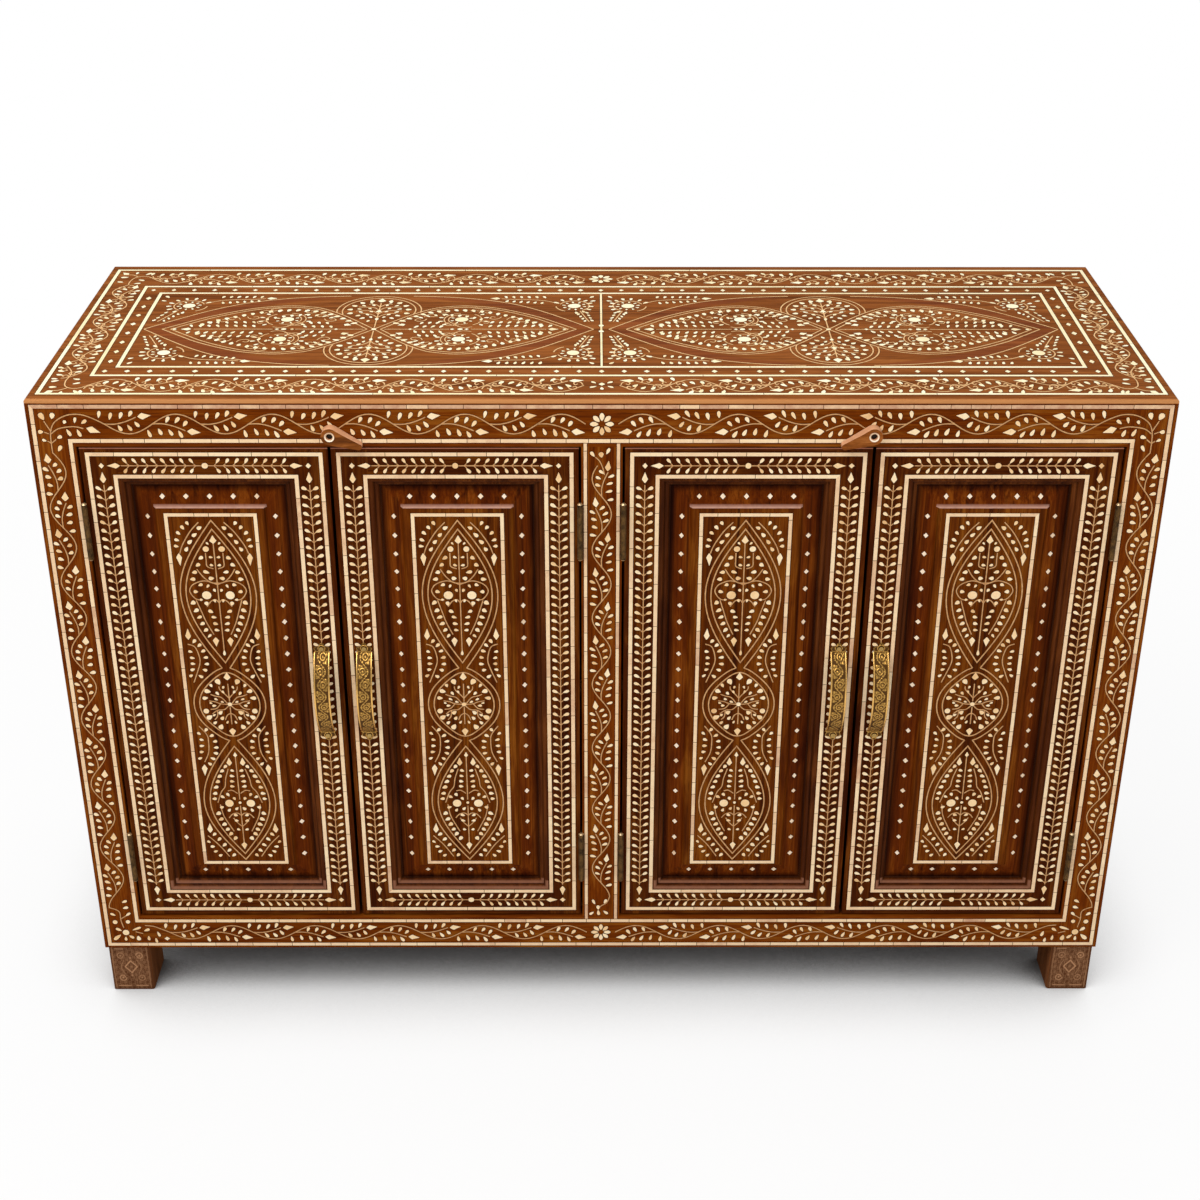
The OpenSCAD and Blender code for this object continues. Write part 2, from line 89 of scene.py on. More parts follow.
# The mouldings are darkened in a groove between their crests and in their deepest part
MOULDING_PAINTED_SHADE = ((FRONT_Y + 6.0, FRONT_Y + 6.8, (0.60, 0.56, 0.56)),
                    (FRONT_Y + 7.9, FRONT_Y + 8.1, (1.67, 1.79, 1.79)),
                    (FRONT_Y + 11.5, FRONT_Y + 13.4, (0.36, 0.32, 0.32)))

# Painted highlights in the wood, where light catches: the doors' upper edge, the panels' crest and the
# mouldings' lower crests
DOOR_ARRIS_HIGHLIGHT = ((("Z", DOOR_TOP - 1.5, DOOR_TOP + 4, 3), ("Y", FRONT_Y, FRONT_Y + DOOR_RECESS + 3, 2)),)
PANEL_CREST_HIGHLIGHT = ((("Z", DOOR_Z + 272.0, DOOR_Z + 276.6, 4.0), ("Y", FRONT_Y, FRONT_Y + 8.6, 0.5)),)
MOULDING_CREST_HIGHLIGHTS = tuple((("Y", y, y + 2.5, 2.1), ("Z", 150, DOOR_Z - 297.5, 2.0))
                        for y in (FRONT_Y + 2.1, FRONT_Y + 7.6))

# Each door's middle and its handle's middle, across the front
DOORS = {"left_outer_door": (-489.25, -362.5), "left_inner_door": (-180.75, -307.5),
         "right_inner_door": (180.75, 307.5), "right_outer_door": (489.25, 362.5)}

Point = tuple[float, float]
Path = list[Point]
Color = tuple[float, float, float]


class Grain(Enum):
    """Which way the wood's grain runs."""

    ALONG_X = (0.0, 0.0, 0.0)
    ALONG_Y = (0.0, 0.0, math.pi / 2)
    ALONG_Z = (0.0, math.pi / 2, 0.0)


class Outline(Enum):
    """The shapes that the inlay is cut to."""

    LEAF = "leaf"
    KITE = "kite"
    DIAMOND = "diamond"
    DOT = "dot"
    PETAL = "petal"


# Materials


class Signal:
    """A node socket that takes part in arithmetic."""

    def __init__(self, recipe: "Recipe", socket: bpy.types.NodeSocket) -> None:
        """Keeps the socket and the recipe that its maths is added to."""
        self.recipe = recipe
        self.socket = socket

    def _math(self, operation: str, *values: Any) -> "Signal":
        """Adds a Math node with these inputs and gives its result."""
        return self.recipe.add("ShaderNodeMath", {"operation": operation}, dict(enumerate(values)))

    def __add__(self, other: Any) -> "Signal":
        """Adds."""
        return self._math("ADD", self, other)

    __radd__ = __add__

    def __sub__(self, other: Any) -> "Signal":
        """Subtracts."""
        return self._math("SUBTRACT", self, other)

    def __rsub__(self, other: Any) -> "Signal":
        """Subtracts this from a number."""
        return self._math("SUBTRACT", other, self)

    def __mul__(self, other: Any) -> "Signal":
        """Multiplies."""
        return self._math("MULTIPLY", self, other)

    __rmul__ = __mul__

    def over(self, low: float, high: float) -> "Signal":
        """Maps low..high to 0..1 and clamps it."""
        return self.recipe.add("ShaderNodeMapRange", {"clamp": True},
                               {0: self, 1: low, 2: high, 3: 0.0, 4: 1.0})

    def onto(self, low: float, high: float) -> "Signal":
        """Maps 0..1 to low..high."""
        return self.recipe.add("ShaderNodeMapRange", None, {0: self, 3: low, 4: high})


class Recipe:
    """A material and the nodes that make it."""

    def __init__(self, name: str, **fixed: Any) -> None:
        """Makes a material with one Principled shader.

        Args:
            name: The material's name.
            fixed: Values that hold all over, by socket name with _ for spaces.
        """
        self.material = bpy.data.materials.new(name)
        self.material.use_nodes = True
        self.tree = self.material.node_tree
        self.tree.nodes.clear()
        self.shader = self.tree.nodes.new("ShaderNodeBsdfPrincipled")
        self.output = self.tree.nodes.new("ShaderNodeOutputMaterial")
        self.tree.links.new(self.shader.outputs[0], self.output.inputs[0])
        for key, value in fixed.items():
            self.shader.inputs[key.replace("_", " ")].default_value = value

    def add(self, kind: str, settings: dict[str, Any] | None = None,
            inputs: dict[Any, Any] | None = None, out: Any = 0) -> Signal:
        """Adds one node.

        Args:
            kind: The node's type.
            settings: Its properties; stops fills a colour ramp.
            inputs: Values or signals by socket name or number.
            out: The output that is wanted.
        Returns:
            That output.
        """
        made = self.tree.nodes.new(kind)
        for key, value in (settings or {}).items():
            if key == "stops":
                self._fill_ramp(made.color_ramp, value)
            else:
                setattr(made, key, value)
        for key, value in (inputs or {}).items():
            if isinstance(value, Signal):
                self.tree.links.new(value.socket, made.inputs[key])
            else:
                made.inputs[key].default_value = value
        return Signal(self, made.outputs[out])

    @staticmethod
    def _fill_ramp(ramp: bpy.types.ColorRamp, stops: Sequence[tuple[float, Color]]) -> None:
        """Sets a colour ramp's stops.

        Args:
            ramp: The colour ramp.
            stops: Its places and colours.
        """
        while len(ramp.elements) < len(stops):
            ramp.elements.new(0.5)
        for element, (place, color) in zip(ramp.elements, stops):
            element.position = place
            element.color = (*color, 1.0)

    def feed(self, **signals: Signal) -> None:
        """Links signals to the shader's sockets, by socket name with _ for spaces."""
        for key, value in signals.items():
            self.tree.links.new(value.socket, self.shader.inputs[key.replace("_", " ")])

    def object_space(self, scale: Sequence[float] = (1, 1, 1), turn: Sequence[float] = (0, 0, 0)) -> Signal:
        """Gives the piece's own coordinates, turned and scaled.

        Args:
            scale: How much each axis is scaled.
            turn: How the axes are turned first.
        Returns:
            The coordinates.
        """
        plain = self.add("ShaderNodeTexCoord", out="Object")
        turned = self.add("ShaderNodeMapping", None, {"Vector": plain, "Rotation": tuple(turn)})
        return self.add("ShaderNodeMapping", None, {"Vector": turned, "Scale": tuple(scale)})

    def along(self, axis: str) -> Signal:
        """Gives one of the piece's own coordinates, in metres."""
        return self.add("ShaderNodeSeparateXYZ", None, {0: self.object_space()}, out=axis)

    def noise(self, scale: float, detail: float = 3.0, rough: float = 0.6, bend: float = 0.0,
              stretch: Sequence[float] = (1, 1, 1), turn: Sequence[float] = (0, 0, 0)) -> Signal:
        """Gives a Noise texture's value in the piece's own coordinates.

        Args:
            scale: The texture's scale.
            detail: Its octaves.
            rough: Its roughness.
            bend: Its distortion.
            stretch: How much each axis is scaled.
            turn: How the axes are turned first.
        Returns:
            The value.
        """
        return self.add("ShaderNodeTexNoise", None,
                        {"Vector": self.object_space(stretch, turn), "Scale": scale, "Detail": detail,
                         "Roughness": rough, "Distortion": bend})

    def tone(self) -> Signal:
        """Gives the mesh's tone attribute."""
        return self.add("ShaderNodeAttribute", {"attribute_name": "tone"}, out="Fac")

    def mix(self, share: Any, a: Any, b: Any, blend: str = "MIX") -> Signal:
        """Mixes two colours, each a signal or a plain colour.

        Args:
            share: The share of the second colour.
            a: The first colour.
            b: The second colour.
            blend: The blend type.
        Returns:
            The mixed colour.
        """
        a, b = (value if isinstance(value, Signal) else (*value, 1.0) for value in (a, b))
        return self.add("ShaderNodeMix", {"data_type": "RGBA", "blend_type": blend},
                        {0: share, 6: a, 7: b}, out=2)

    def ramp(self, value: Signal, *stops: tuple[float, Color]) -> Signal:
        """Adds a colour ramp."""
        return self.add("ShaderNodeValToRGB", {"stops": stops}, {0: value})

    def finish(self, color: Signal, rough: Signal, height: Signal | None = None, depth: float = 0.0,
               strength: float = 0.0, **others: Signal) -> bpy.types.Material:
        """Feeds the shader and gives the material.

        Args:
            color: The base colour.
            rough: The roughness.
            height: The bump's height.
            depth: The bump's depth in metres.
            strength: The bump's strength.
            others: Signals for other sockets.
        Returns:
            The material.
        """
        self.feed(Base_Color=color, Roughness=rough, **others)
        if height:
            self.feed(Normal=self.add("ShaderNodeBump", None,
                                      {"Strength": strength, "Distance": depth, "Height": height}))
        return self.material


def dimmed(color: Color, share: float) -> Color:
    """Gives a share of a colour."""
    return tuple(c * share for c in color)


@dataclass(frozen=True)
class Hardwood:
    """An oiled hardwood, from its dark pores to its light bands.

    Painted shade is (low, high, tint) along Y and darkens recesses. A painted highlight is a tuple of
    (axis, low, high, fade) bands that it lies in, all in millimetres. Highlight sides is the colour of
    faces whose tone is 1, a painted highlight.
    """

    name: str
    dark: Color
    middle: Color
    light: Color
    grain: Grain = Grain.ALONG_Z
    roughness: float = 0.5
    pores: float = 0.5
    streaks: float = 0.35
    gloss: float = 0.022
    painted_shade: tuple[tuple[float, float, Color], ...] = ()
    painted_highlights: tuple[tuple[tuple[str, float, float, float], ...], ...] = ()
    highlight_color: Color = (0.50, 0.24, 0.17)
    soft: float = 0.5
    highlight_sides: Color | None = None
    run: float = 5.0

    def make(self) -> bpy.types.Material:
        """Makes the material.

        Returns:
            The material.
        """
        recipe = Recipe(self.name, Specular_IOR_Level=self.gloss)
        turn = self.grain.value
        figure = recipe.noise(1.0, 4.0, 0.62, 1.3, (self.run, 40, 40), turn)
        fibre = recipe.noise(1.0, 2.0, 0.6, 0.0, (12, 420, 420), turn)
        pore = recipe.noise(1.0, 1.0, 0.5, 0.0, (50, 1300, 1300), turn)
        streak = recipe.noise(1.0, 3.0, 0.6, 0.5, (1.4, 120, 120), turn)
        patch = recipe.noise(3.4)
        tone = recipe.ramp(figure * 0.66 + fibre * 0.34,
                           (0.37, self.dark), (0.50, self.middle), (0.63, self.light))
        shade = recipe.mix(patch.over(0.35, 0.72) * 0.45, tone, self.middle)
        lined = recipe.mix(streak.over(0.52, 0.70) * self.streaks, shade, dimmed(self.dark, 0.42))
        pits = pore.over(0.60, 0.74)
        color = recipe.mix(pits * self.pores, lined, dimmed(self.dark, 0.4))
        # Painted shade: the colour is tinted darker across each band of depth.
        for low, high, tint in self.painted_shade:
            depth = recipe.along("Y").over(low * MM, high * MM)
            color = recipe.mix(depth, color, recipe.mix(1.0, color, tint, "MULTIPLY"))
        # Painted highlights: the colour turns paler on the lit edges and crests.
        for bands in self.painted_highlights:
            color = recipe.mix(self._highlight_share(recipe, streak, bands), color, self.highlight_color)
        # Painted highlight on a piece's sides, where its tone is 1.
        if self.highlight_sides:
            color = recipe.mix(recipe.tone() * (0.65 + streak * 0.5), color, self.highlight_sides)
        rough = (figure * 0.5 + patch * 0.5).onto(self.roughness - 0.08, self.roughness + 0.14)
        return recipe.finish(color, rough, fibre * 0.5 - pits - streak * 0.4, 0.00014, 0.8)

    def _highlight_share(self, recipe: Recipe, streak: Signal,
                bands: tuple[tuple[str, float, float, float], ...]) -> Signal:
        """Gives how much painted highlight the wood has.

        Args:
            recipe: The material's recipe.
            streak: What breaks the painted highlight up.
            bands: The bands that it lies in.
        Returns:
            The share of the highlight colour.
        """
        highlit = 0.6 + streak * 0.6
        for axis, low, high, fade in bands:
            place = recipe.along(axis)
            highlit = highlit * place.over(low * MM, (low + self.soft) * MM)
            highlit = highlit * (1.0 - place.over((high - fade) * MM, high * MM))
        return highlit


@dataclass(frozen=True)
class Bone:
    """Pieces of bone, each a little different in tone."""

    name: str
    pale: Color
    warm: Color
    deep: Color
    roughness: float = 0.5

    def make(self) -> bpy.types.Material:
        """Makes the material from the pieces' tone attribute.

        Returns:
            The material.
        """
        recipe = Recipe(self.name, Specular_IOR_Level=0.12)
        tone = recipe.tone()
        streak = recipe.noise(260.0, 3.0, 0.65)
        cloud = recipe.noise(60.0, 3.0, 0.7)
        base = recipe.ramp(tone * 0.7 + cloud.over(0.3, 0.7) * 0.3,
                           (0.1, self.pale), (0.55, self.warm), (0.95, self.deep))
        stain = recipe.mix(streak.over(0.56, 0.85) * 0.4, base, dimmed(self.deep, 0.5))
        return recipe.finish(stain, streak.onto(self.roughness - 0.08, self.roughness + 0.12),
                             streak, 0.00005, 0.6)


@dataclass(frozen=True)
class Ground:
    """The dark mastic that the inlay is bedded in, or a thin stem of light wood."""

    name: str
    deep: Color
    pale: Color
    roughness: float = 0.6

    def make(self) -> bpy.types.Material:
        """Makes the material.

        Returns:
            The material.
        """
        recipe = Recipe(self.name, Specular_IOR_Level=0.02)
        mottle = recipe.noise(180.0)
        return recipe.finish(recipe.mix(mottle.over(0.3, 0.7), self.deep, self.pale),
                             mottle.onto(self.roughness - 0.1, self.roughness + 0.15), mottle, 0.00005, 0.6)


@dataclass(frozen=True)
class Brass:
    """Brass, bright where use has polished it and dark in its recesses."""

    name: str
    bright: Color
    dull: Color
    tarnish: float
    roughness: float = 0.34
    embossed: bool = False

    def make(self) -> bpy.types.Material:
        """Makes the material; an embossed piece is dark where its tone attribute is low and has a painted
        highlight on its crests.

        Returns:
            The material.
        """
        recipe = Recipe(self.name, Specular_IOR_Level=0.15)
        cloud = recipe.noise(90.0, 4.0, 0.65)
        grit = recipe.noise(900.0, 2.0, 0.6, 0.0, (1, 1, 0.25))
        mask = (cloud * 0.7 + grit * 0.3).over(0.72 - self.tarnish * 0.5, 0.86 - self.tarnish * 0.4)
        bright: Any = self.bright
        if self.embossed:
            tone = recipe.tone()
            mask = ((1.0 - tone.over(0.10, 0.72)) * 0.95 + mask * 0.3).over(0.0, 1.0)
            # Painted highlight: the crests of the embossing are mixed towards a paler brass.
            crest = tone.over(0.74, 0.96) * 0.8
            bright = recipe.mix(crest, bright, tuple(min(1.0, c * 1.5 + 0.05) for c in self.bright))
        return recipe.finish(recipe.mix(mask, bright, self.dull),
                             mask.onto(self.roughness, self.roughness + 0.28),
                             grit * 0.4 + cloud * 0.6, 0.00015, 0.7, Metallic=1.0 - mask * 0.45)


@dataclass(frozen=True)
class Steel:
    """Turned steel of the screws."""

    name: str
    dark: Color
    light: Color

    def make(self) -> bpy.types.Material:
        """Makes the material.

        Returns:
            The material.
        """
        recipe = Recipe(self.name, Metallic=1.0)
        wear = recipe.noise(700.0)
        return recipe.finish(recipe.mix(wear, self.dark, self.light), wear.onto(0.32, 0.5))


@dataclass(frozen=True)
class CarvedWood:
    """Case wood with painted highlight on its carving's raised parts and painted shade in its low parts."""

    name: str
    low: Color
    high: Color

    def make(self) -> bpy.types.Material:
        """Makes the material from the carving's tone attribute.

        Returns:
            The material.
        """
        recipe = Recipe(self.name, Specular_IOR_Level=0.06)
        tone = recipe.tone()
        fibre = recipe.noise(1.0, 3.0, 0.6, 0.0, (420, 420, 12))
        # Painted highlight and shade: paler with the carving's height, darker in its low parts.
        painted_highlights = (tone * 0.8 + fibre * 0.4).over(0.28, 0.92)
        return recipe.finish(recipe.mix(painted_highlights, self.low, self.high), fibre.onto(0.45, 0.62),
                             fibre, 0.0001, 0.7)


class Finish(Enum):
    """Every finish of the sideboard."""

    # Woods: the case, its feet and carving, the top and its plain bands, the doors, the turn-buttons
    # and the inside
    CASE = Hardwood("case_wood", (0.072, 0.0102, 0.0003), (0.150, 0.0285, 0.0009), (0.250, 0.0740, 0.0060))
    FOOT = Hardwood("foot_wood", (0.115, 0.035, 0.011), (0.175, 0.060, 0.019), (0.250, 0.095, 0.036))
    CARVING = CarvedWood("carved_wood", (0.090, 0.029, 0.009), (0.440, 0.225, 0.110))
    # The top's front edge is painted paler, a painted highlight where it rounds over.
    TOP = Hardwood("top_wood", (0.150, 0.039, 0.0055), (0.240, 0.069, 0.012), (0.345, 0.112, 0.024),
                   Grain.ALONG_X, streaks=0.6, gloss=0.03,
                   painted_highlights=((("Y", FRONT_Y - 1, FRONT_Y + 4.5, 4.9),),), highlight_color=(0.56, 0.245, 0.085))
    BAND = Hardwood("band_wood", (0.140, 0.033, 0.008), (0.215, 0.054, 0.012), (0.290, 0.084, 0.020),
                    Grain.ALONG_X, pores=0.4, streaks=0.5, gloss=0.035)
    # Painted shade on the doors' edges in the gap, and a painted highlight along their upper edge.
    DOOR = Hardwood("door_wood", (0.029, 0.0042, 0.0003), (0.065, 0.0118, 0.0006), (0.150, 0.0400, 0.0034),
                    painted_shade=DOOR_PAINTED_SHADE, painted_highlights=DOOR_ARRIS_HIGHLIGHT, highlight_color=(0.40, 0.155, 0.090))
    # Painted shade on the slopes and round the field, and a painted highlight on the field's upper crest.
    PANEL = Hardwood("panel_wood", (0.056, 0.0092, 0.0004), (0.113, 0.0235, 0.0009),
                     (0.215, 0.0630, 0.0050), Grain.ALONG_Z, 0.46, streaks=0.85, gloss=0.025,
                     painted_shade=PANEL_PAINTED_SHADE, painted_highlights=PANEL_CREST_HIGHLIGHT, highlight_color=(0.56, 0.31, 0.23))
    # Painted shade in a groove and next to the panel, and painted highlights on the lower moulding's
    # crests.
    MOULDING = Hardwood("moulding_wood", (0.034, 0.0066, 0.0009), (0.072, 0.0160, 0.0022),
                        (0.135, 0.0360, 0.0060), Grain.ALONG_Z, 0.40, 0.3, 0.5, 0.04, MOULDING_PAINTED_SHADE,
                        MOULDING_CREST_HIGHLIGHTS, (0.27, 0.112, 0.062), 0.4)
    # Its sides are painted paler, a painted highlight.
    BUTTON = Hardwood("button_wood", (0.130, 0.032, 0.0045), (0.235, 0.066, 0.0100), (0.360, 0.120, 0.0260),
                      Grain.ALONG_X, 0.44, 0.3, 0.7, 0.05, highlight_sides=(0.74, 0.38, 0.205))
    INSIDE = Hardwood("inner_wood", (0.130, 0.055, 0.020), (0.215, 0.098, 0.037), (0.300, 0.148, 0.062),
                      roughness=0.66, pores=0.7, run=1.4)

    # Inlay: leaves and flowers, the diamonds on the panels' margins, border strips, all bone of the
    # top, the dark bed and the stems
    LEAF = Bone("bone_leaf", (0.92, 0.74, 0.48), (0.85, 0.58, 0.30), (0.66, 0.36, 0.14))
    SLOPE = Bone("bone_slope", (0.93, 0.76, 0.58), (0.88, 0.68, 0.47), (0.70, 0.46, 0.28))
    LINE = Bone("bone_line", (0.88, 0.68, 0.43), (0.79, 0.54, 0.32), (0.50, 0.26, 0.15))
    TOP_BONE = Bone("bone_top", (0.97, 0.91, 0.66), (0.92, 0.80, 0.50), (0.78, 0.58, 0.29))
    MASTIC = Ground("mastic", (0.030, 0.0068, 0.0012), (0.060, 0.0140, 0.0024))
    STEM = Ground("stem_wood", (0.43, 0.205, 0.080), (0.61, 0.345, 0.150))
    TOP_STEM = Ground("top_stem_wood", (0.60, 0.33, 0.140), (0.78, 0.50, 0.245))

    # Metal: handles, hinges, pins and washers, and the screws of hinges, handles and turn-buttons
    HANDLE = Brass("handle_brass", (0.63, 0.355, 0.085), (0.070, 0.027, 0.006), 0.22, 0.27, True)
    HINGE = Brass("hinge_brass", (0.160, 0.084, 0.028), (0.036, 0.020, 0.008), 0.60, 0.42)
    WASHER = Brass("washer_brass", (0.70, 0.52, 0.30), (0.34, 0.20, 0.10), 0.30, 0.45)
    SCREW = Steel("screw_steel", (0.30, 0.25, 0.16), (0.56, 0.50, 0.36))
    HANDLE_SCREW = Steel("brass_screw", (0.26, 0.15, 0.04), (0.62, 0.42, 0.15))
    BUTTON_SCREW = Steel("dark_steel", (0.010, 0.008, 0.006), (0.045, 0.030, 0.020))


class Palette:
    """Makes each finish once and hands it out."""

    def __init__(self) -> None:
        """Starts with nothing made."""
        self._made: dict[Any, bpy.types.Material] = {}

    def get(self, finish: Finish, grain: Grain | None = None) -> bpy.types.Material:
        """Gives a finish's material, made on first use.

        Args:
            finish: Which finish.
            grain: For a wood that is used in more than one direction, the way its grain runs.
        Returns:
            The material.
        """
        mixed = finish.value
        if grain:
            mixed = replace(mixed, name=f"{mixed.name}_{grain.name.lower()}", grain=grain)
        if mixed not in self._made:
            self._made[mixed] = mixed.make()
        return self._made[mixed]


# Modelling helpers


def start_clean() -> None:
    """Leaves object mode with nothing selected."""
    if bpy.context.object and bpy.context.object.mode != "OBJECT":
        bpy.ops.object.mode_set(mode="OBJECT")
    bpy.ops.object.select_all(action="DESELECT")


def only(thing: bpy.types.Object) -> None:
    """Makes one object selected and active.

    Args:
        thing: The object.
    """
    start_clean()
    thing.select_set(True)
    bpy.context.view_layer.objects.active = thing


def finish_piece(thing: bpy.types.Object, name: str, body: str,
                 material: bpy.types.Material) -> bpy.types.Object:
    """Names a piece, dresses it and ties it to its body.

    Args:
        thing: The piece.
        name: Its name.
        body: The body that it rides on.
        material: Its finish.
    Returns:
        The piece.
    """
    thing.name = name
    thing.data.name = name
    thing.data.materials.clear()
    thing.data.materials.append(material)
    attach(thing, body)
    LOG.info("%s: %d faces on %s", name, len(thing.data.polygons), body)
    return thing


def set_tone(mesh: bpy.types.Mesh, values: Sequence[float], domain: str = "POINT") -> None:
    """Stores a tone for each point or face, which the finishes read."""
    mesh.attributes.new("tone", "FLOAT", domain).data.foreach_set("value", values)


def face_outwards() -> None:
    """Turns every face of the active mesh outwards."""
    bpy.ops.object.mode_set(mode="EDIT")
    bpy.ops.mesh.select_all(action="SELECT")
    bpy.ops.mesh.normals_make_consistent(inside=False)
    bpy.ops.object.mode_set(mode="OBJECT")


def thicken(sheet: bpy.types.Object, thickness: float, offset: float, sharp: float) -> None:
    """Makes a closed body of a sheet and smooths it.

    Args:
        sheet: The sheet.
        thickness: How thick it becomes, in millimetres.
        offset: The side that it grows to, -1 or 1.
        sharp: The angle in degrees from which an edge stays sharp.
    """
    only(sheet)
    thick = sheet.modifiers.new("thick", "SOLIDIFY")
    thick.thickness = thickness * MM
    thick.offset = offset
    bpy.ops.object.modifier_apply(modifier="thick")
    face_outwards()
    bpy.ops.object.shade_smooth_by_angle(angle=math.radians(sharp))


def copy_to(first: bpy.types.Object, *place_mm: float) -> bpy.types.Object:
    """Copies a modelled piece, with a mesh of its own, to a place in millimetres.

    Args:
        first: The piece that was modelled.
        place_mm: The place.
    Returns:
        The copy.
    """
    copy = first.copy()
    copy.data = first.data.copy()
    bpy.context.collection.objects.link(copy)
    copy.data.transform(Matrix.Translation(Vector(place_mm) * MM))
    return copy


def outline_shape(shape: Outline, t: float) -> Point:
    """Gives one point of a unit outline whose length lies along X.

    Args:
        shape: Which outline.
        t: The angle round it, with 0 at the forward end.
    Returns:
        The point, within half a unit of the middle.
    """
    c, s = math.cos(t), math.sin(t)
    if shape is Outline.LEAF:
        return 0.5 * c, 0.60 * s * ((1.15 + c) / 2.15) ** 0.5
    if shape is Outline.KITE:
        x = 0.64 * c ** 2.3 if c > 0 else -0.36 * abs(c) ** 1.6
        return x - 0.14, 0.5 * math.copysign(abs(s) ** 1.9, s)
    if shape is Outline.PETAL:
        return 0.5 * c, 0.55 * s * abs(s) ** 0.5 * (1 + 0.25 * c)
    return 0.5 * c, 0.5 * s


class Cutter:
    """Models each inlay piece once, as a closed plate, and hands out its points for the copies."""

    corners = {Outline.LEAF: 10, Outline.KITE: 12, Outline.DIAMOND: 4, Outline.DOT: 12, Outline.PETAL: 10}

    def __init__(self) -> None:
        """Starts with nothing modelled."""
        self._cut: dict[Outline, tuple[np.ndarray, list[tuple[int, ...]]]] = {}

    def plate(self, shape: Outline) -> tuple[np.ndarray, list[tuple[int, ...]]]:
        """Gives the plate's points and faces, modelled on first use.

        Args:
            shape: Its outline.
        Returns:
            Its points and its faces.
        """
        if shape not in self._cut:
            self._cut[shape] = self._model(shape)
        return self._cut[shape]

    def _model(self, shape: Outline) -> tuple[np.ndarray, list[tuple[int, ...]]]:
        """Shapes a filled circle to the outline and extrudes it down.

        Args:
            shape: Which outline.
        Returns:
            The plate's points, whose third value is 1 on its face and 0 on its back, and its faces.
        """
        start_clean()
        count = self.corners[shape]
        bpy.ops.mesh.primitive_circle_add(vertices=count, radius=0.5, fill_type="NGON")
        blank = bpy.context.object
        for i, vertex in enumerate(blank.data.vertices):
            x, y = outline_shape(shape, 2 * math.pi * i / count)
            vertex.co = (x, y, 1.0)
        bpy.ops.object.mode_set(mode="EDIT")
        bpy.ops.mesh.select_all(action="SELECT")
        bpy.ops.mesh.extrude_region_move(TRANSFORM_OT_translate={"value": (0.0, 0.0, -1.0)})
        bpy.ops.object.mode_set(mode="OBJECT")
        face_outwards()
        points = np.array([v.co[:] for v in blank.data.vertices])
        faces = [tuple(face.vertices) for face in blank.data.polygons]
        bpy.data.objects.remove(blank, do_unlink=True)
        return points, faces


CUTTER = Cutter()


@dataclass(frozen=True)
class Lie:
    """How a plate lies: how far it stands over its plane and reaches below it, and its tone.

    The plane carries its own millimetres to the frame's metres.
    """

    rise: float
    sink: float
    plane: Matrix
    tone: float


@dataclass
class Plates:
    """Collects thin closed plates and makes one mesh of them."""

    points: list[np.ndarray] = field(default_factory=list)
    faces: list[tuple[int, ...]] = field(default_factory=list)
    tones: list[np.ndarray] = field(default_factory=list)
    count: int = 0

    def _take(self, points: np.ndarray, faces: Iterable[tuple[int, ...]], lie: Lie) -> None:
        """Adds points in the plane and faces that count from zero.

        Args:
            points: The points, in the plane's millimetres.
            faces: The faces.
            lie: How they lie.
        """
        self.faces.extend(tuple(i + self.count for i in face) for face in faces)
        self.points.append(place(points, lie.plane))
        self.tones.append(np.full(len(points), lie.tone))
        self.count += len(points)

    def copy(self, shape: Outline, size: Point, turn: float, at: Point, lie: Lie) -> None:
        """Adds a copy of a modelled plate.

        Args:
            shape: Its outline.
            size: Its length and width in millimetres.
            turn: Its direction in degrees.
            at: Where its middle lies in the plane.
            lie: How it lies.
        """
        points, faces = CUTTER.plate(shape)
        a = math.radians(turn)
        spin = np.array([[math.cos(a), -math.sin(a)], [math.sin(a), math.cos(a)]])
        flat = (points[:, :2] * size) @ spin.T + at
        height = points[:, 2] * (lie.rise + lie.sink) - lie.sink
        self._take(np.column_stack([flat, height]), faces, lie)

    def plate(self, rim: np.ndarray, lie: Lie) -> None:
        """Adds a plate with a given rim.

        Args:
            rim: Points in the plane, in millimetres, counter-clockwise.
            lie: How it lies.
        """
        n = len(rim)
        flat = np.vstack([np.column_stack([rim, np.full(n, height)]) for height in (lie.rise, -lie.sink)])
        faces = [tuple(range(n)), tuple(range(2 * n - 1, n - 1, -1))]
        faces += [(i, i + n, (i + 1) % n + n, (i + 1) % n) for i in range(n)]
        self._take(flat, faces, lie)

    def strip(self, path: Sequence[Point], width: float, lie: Lie, closed: bool = False) -> None:
        """Adds a strip along a path.

        Args:
            path: Points in the plane, in millimetres.
            width: The strip's width.
            lie: How it lies.
            closed: Whether it ends where it began.
        """
        line = np.array(path, float)
        n = len(line)
        side = sideways(line, closed) * width / 2
        left, right = line + side, line - side
        rows = [np.column_stack([e, np.full(n, h)]) for e, h in
                ((left, lie.rise), (right, lie.rise), (right, -lie.sink), (left, -lie.sink))]
        faces = []
        for i in range(n if closed else n - 1):
            j = (i + 1) % n
            for a in range(4):
                b = (a + 1) % 4
                faces.append((a * n + i, b * n + i, b * n + j, a * n + j))
        if not closed:
            faces += [(0, 3 * n, 2 * n, n), (n - 1, 2 * n - 1, 3 * n - 1, 4 * n - 1)]
        self._take(np.vstack(rows), faces, lie)

    def build(self) -> bpy.types.Object:
        """Makes the mesh's object with its tone attribute.

        Returns:
            The object.
        """
        mesh = bpy.data.meshes.new("plates")
        mesh.from_pydata(np.vstack(self.points).tolist(), [], self.faces)
        set_tone(mesh, np.concatenate(self.tones))
        mesh.update()
        thing = bpy.data.objects.new("plates", mesh)
        bpy.context.collection.objects.link(thing)
        return thing


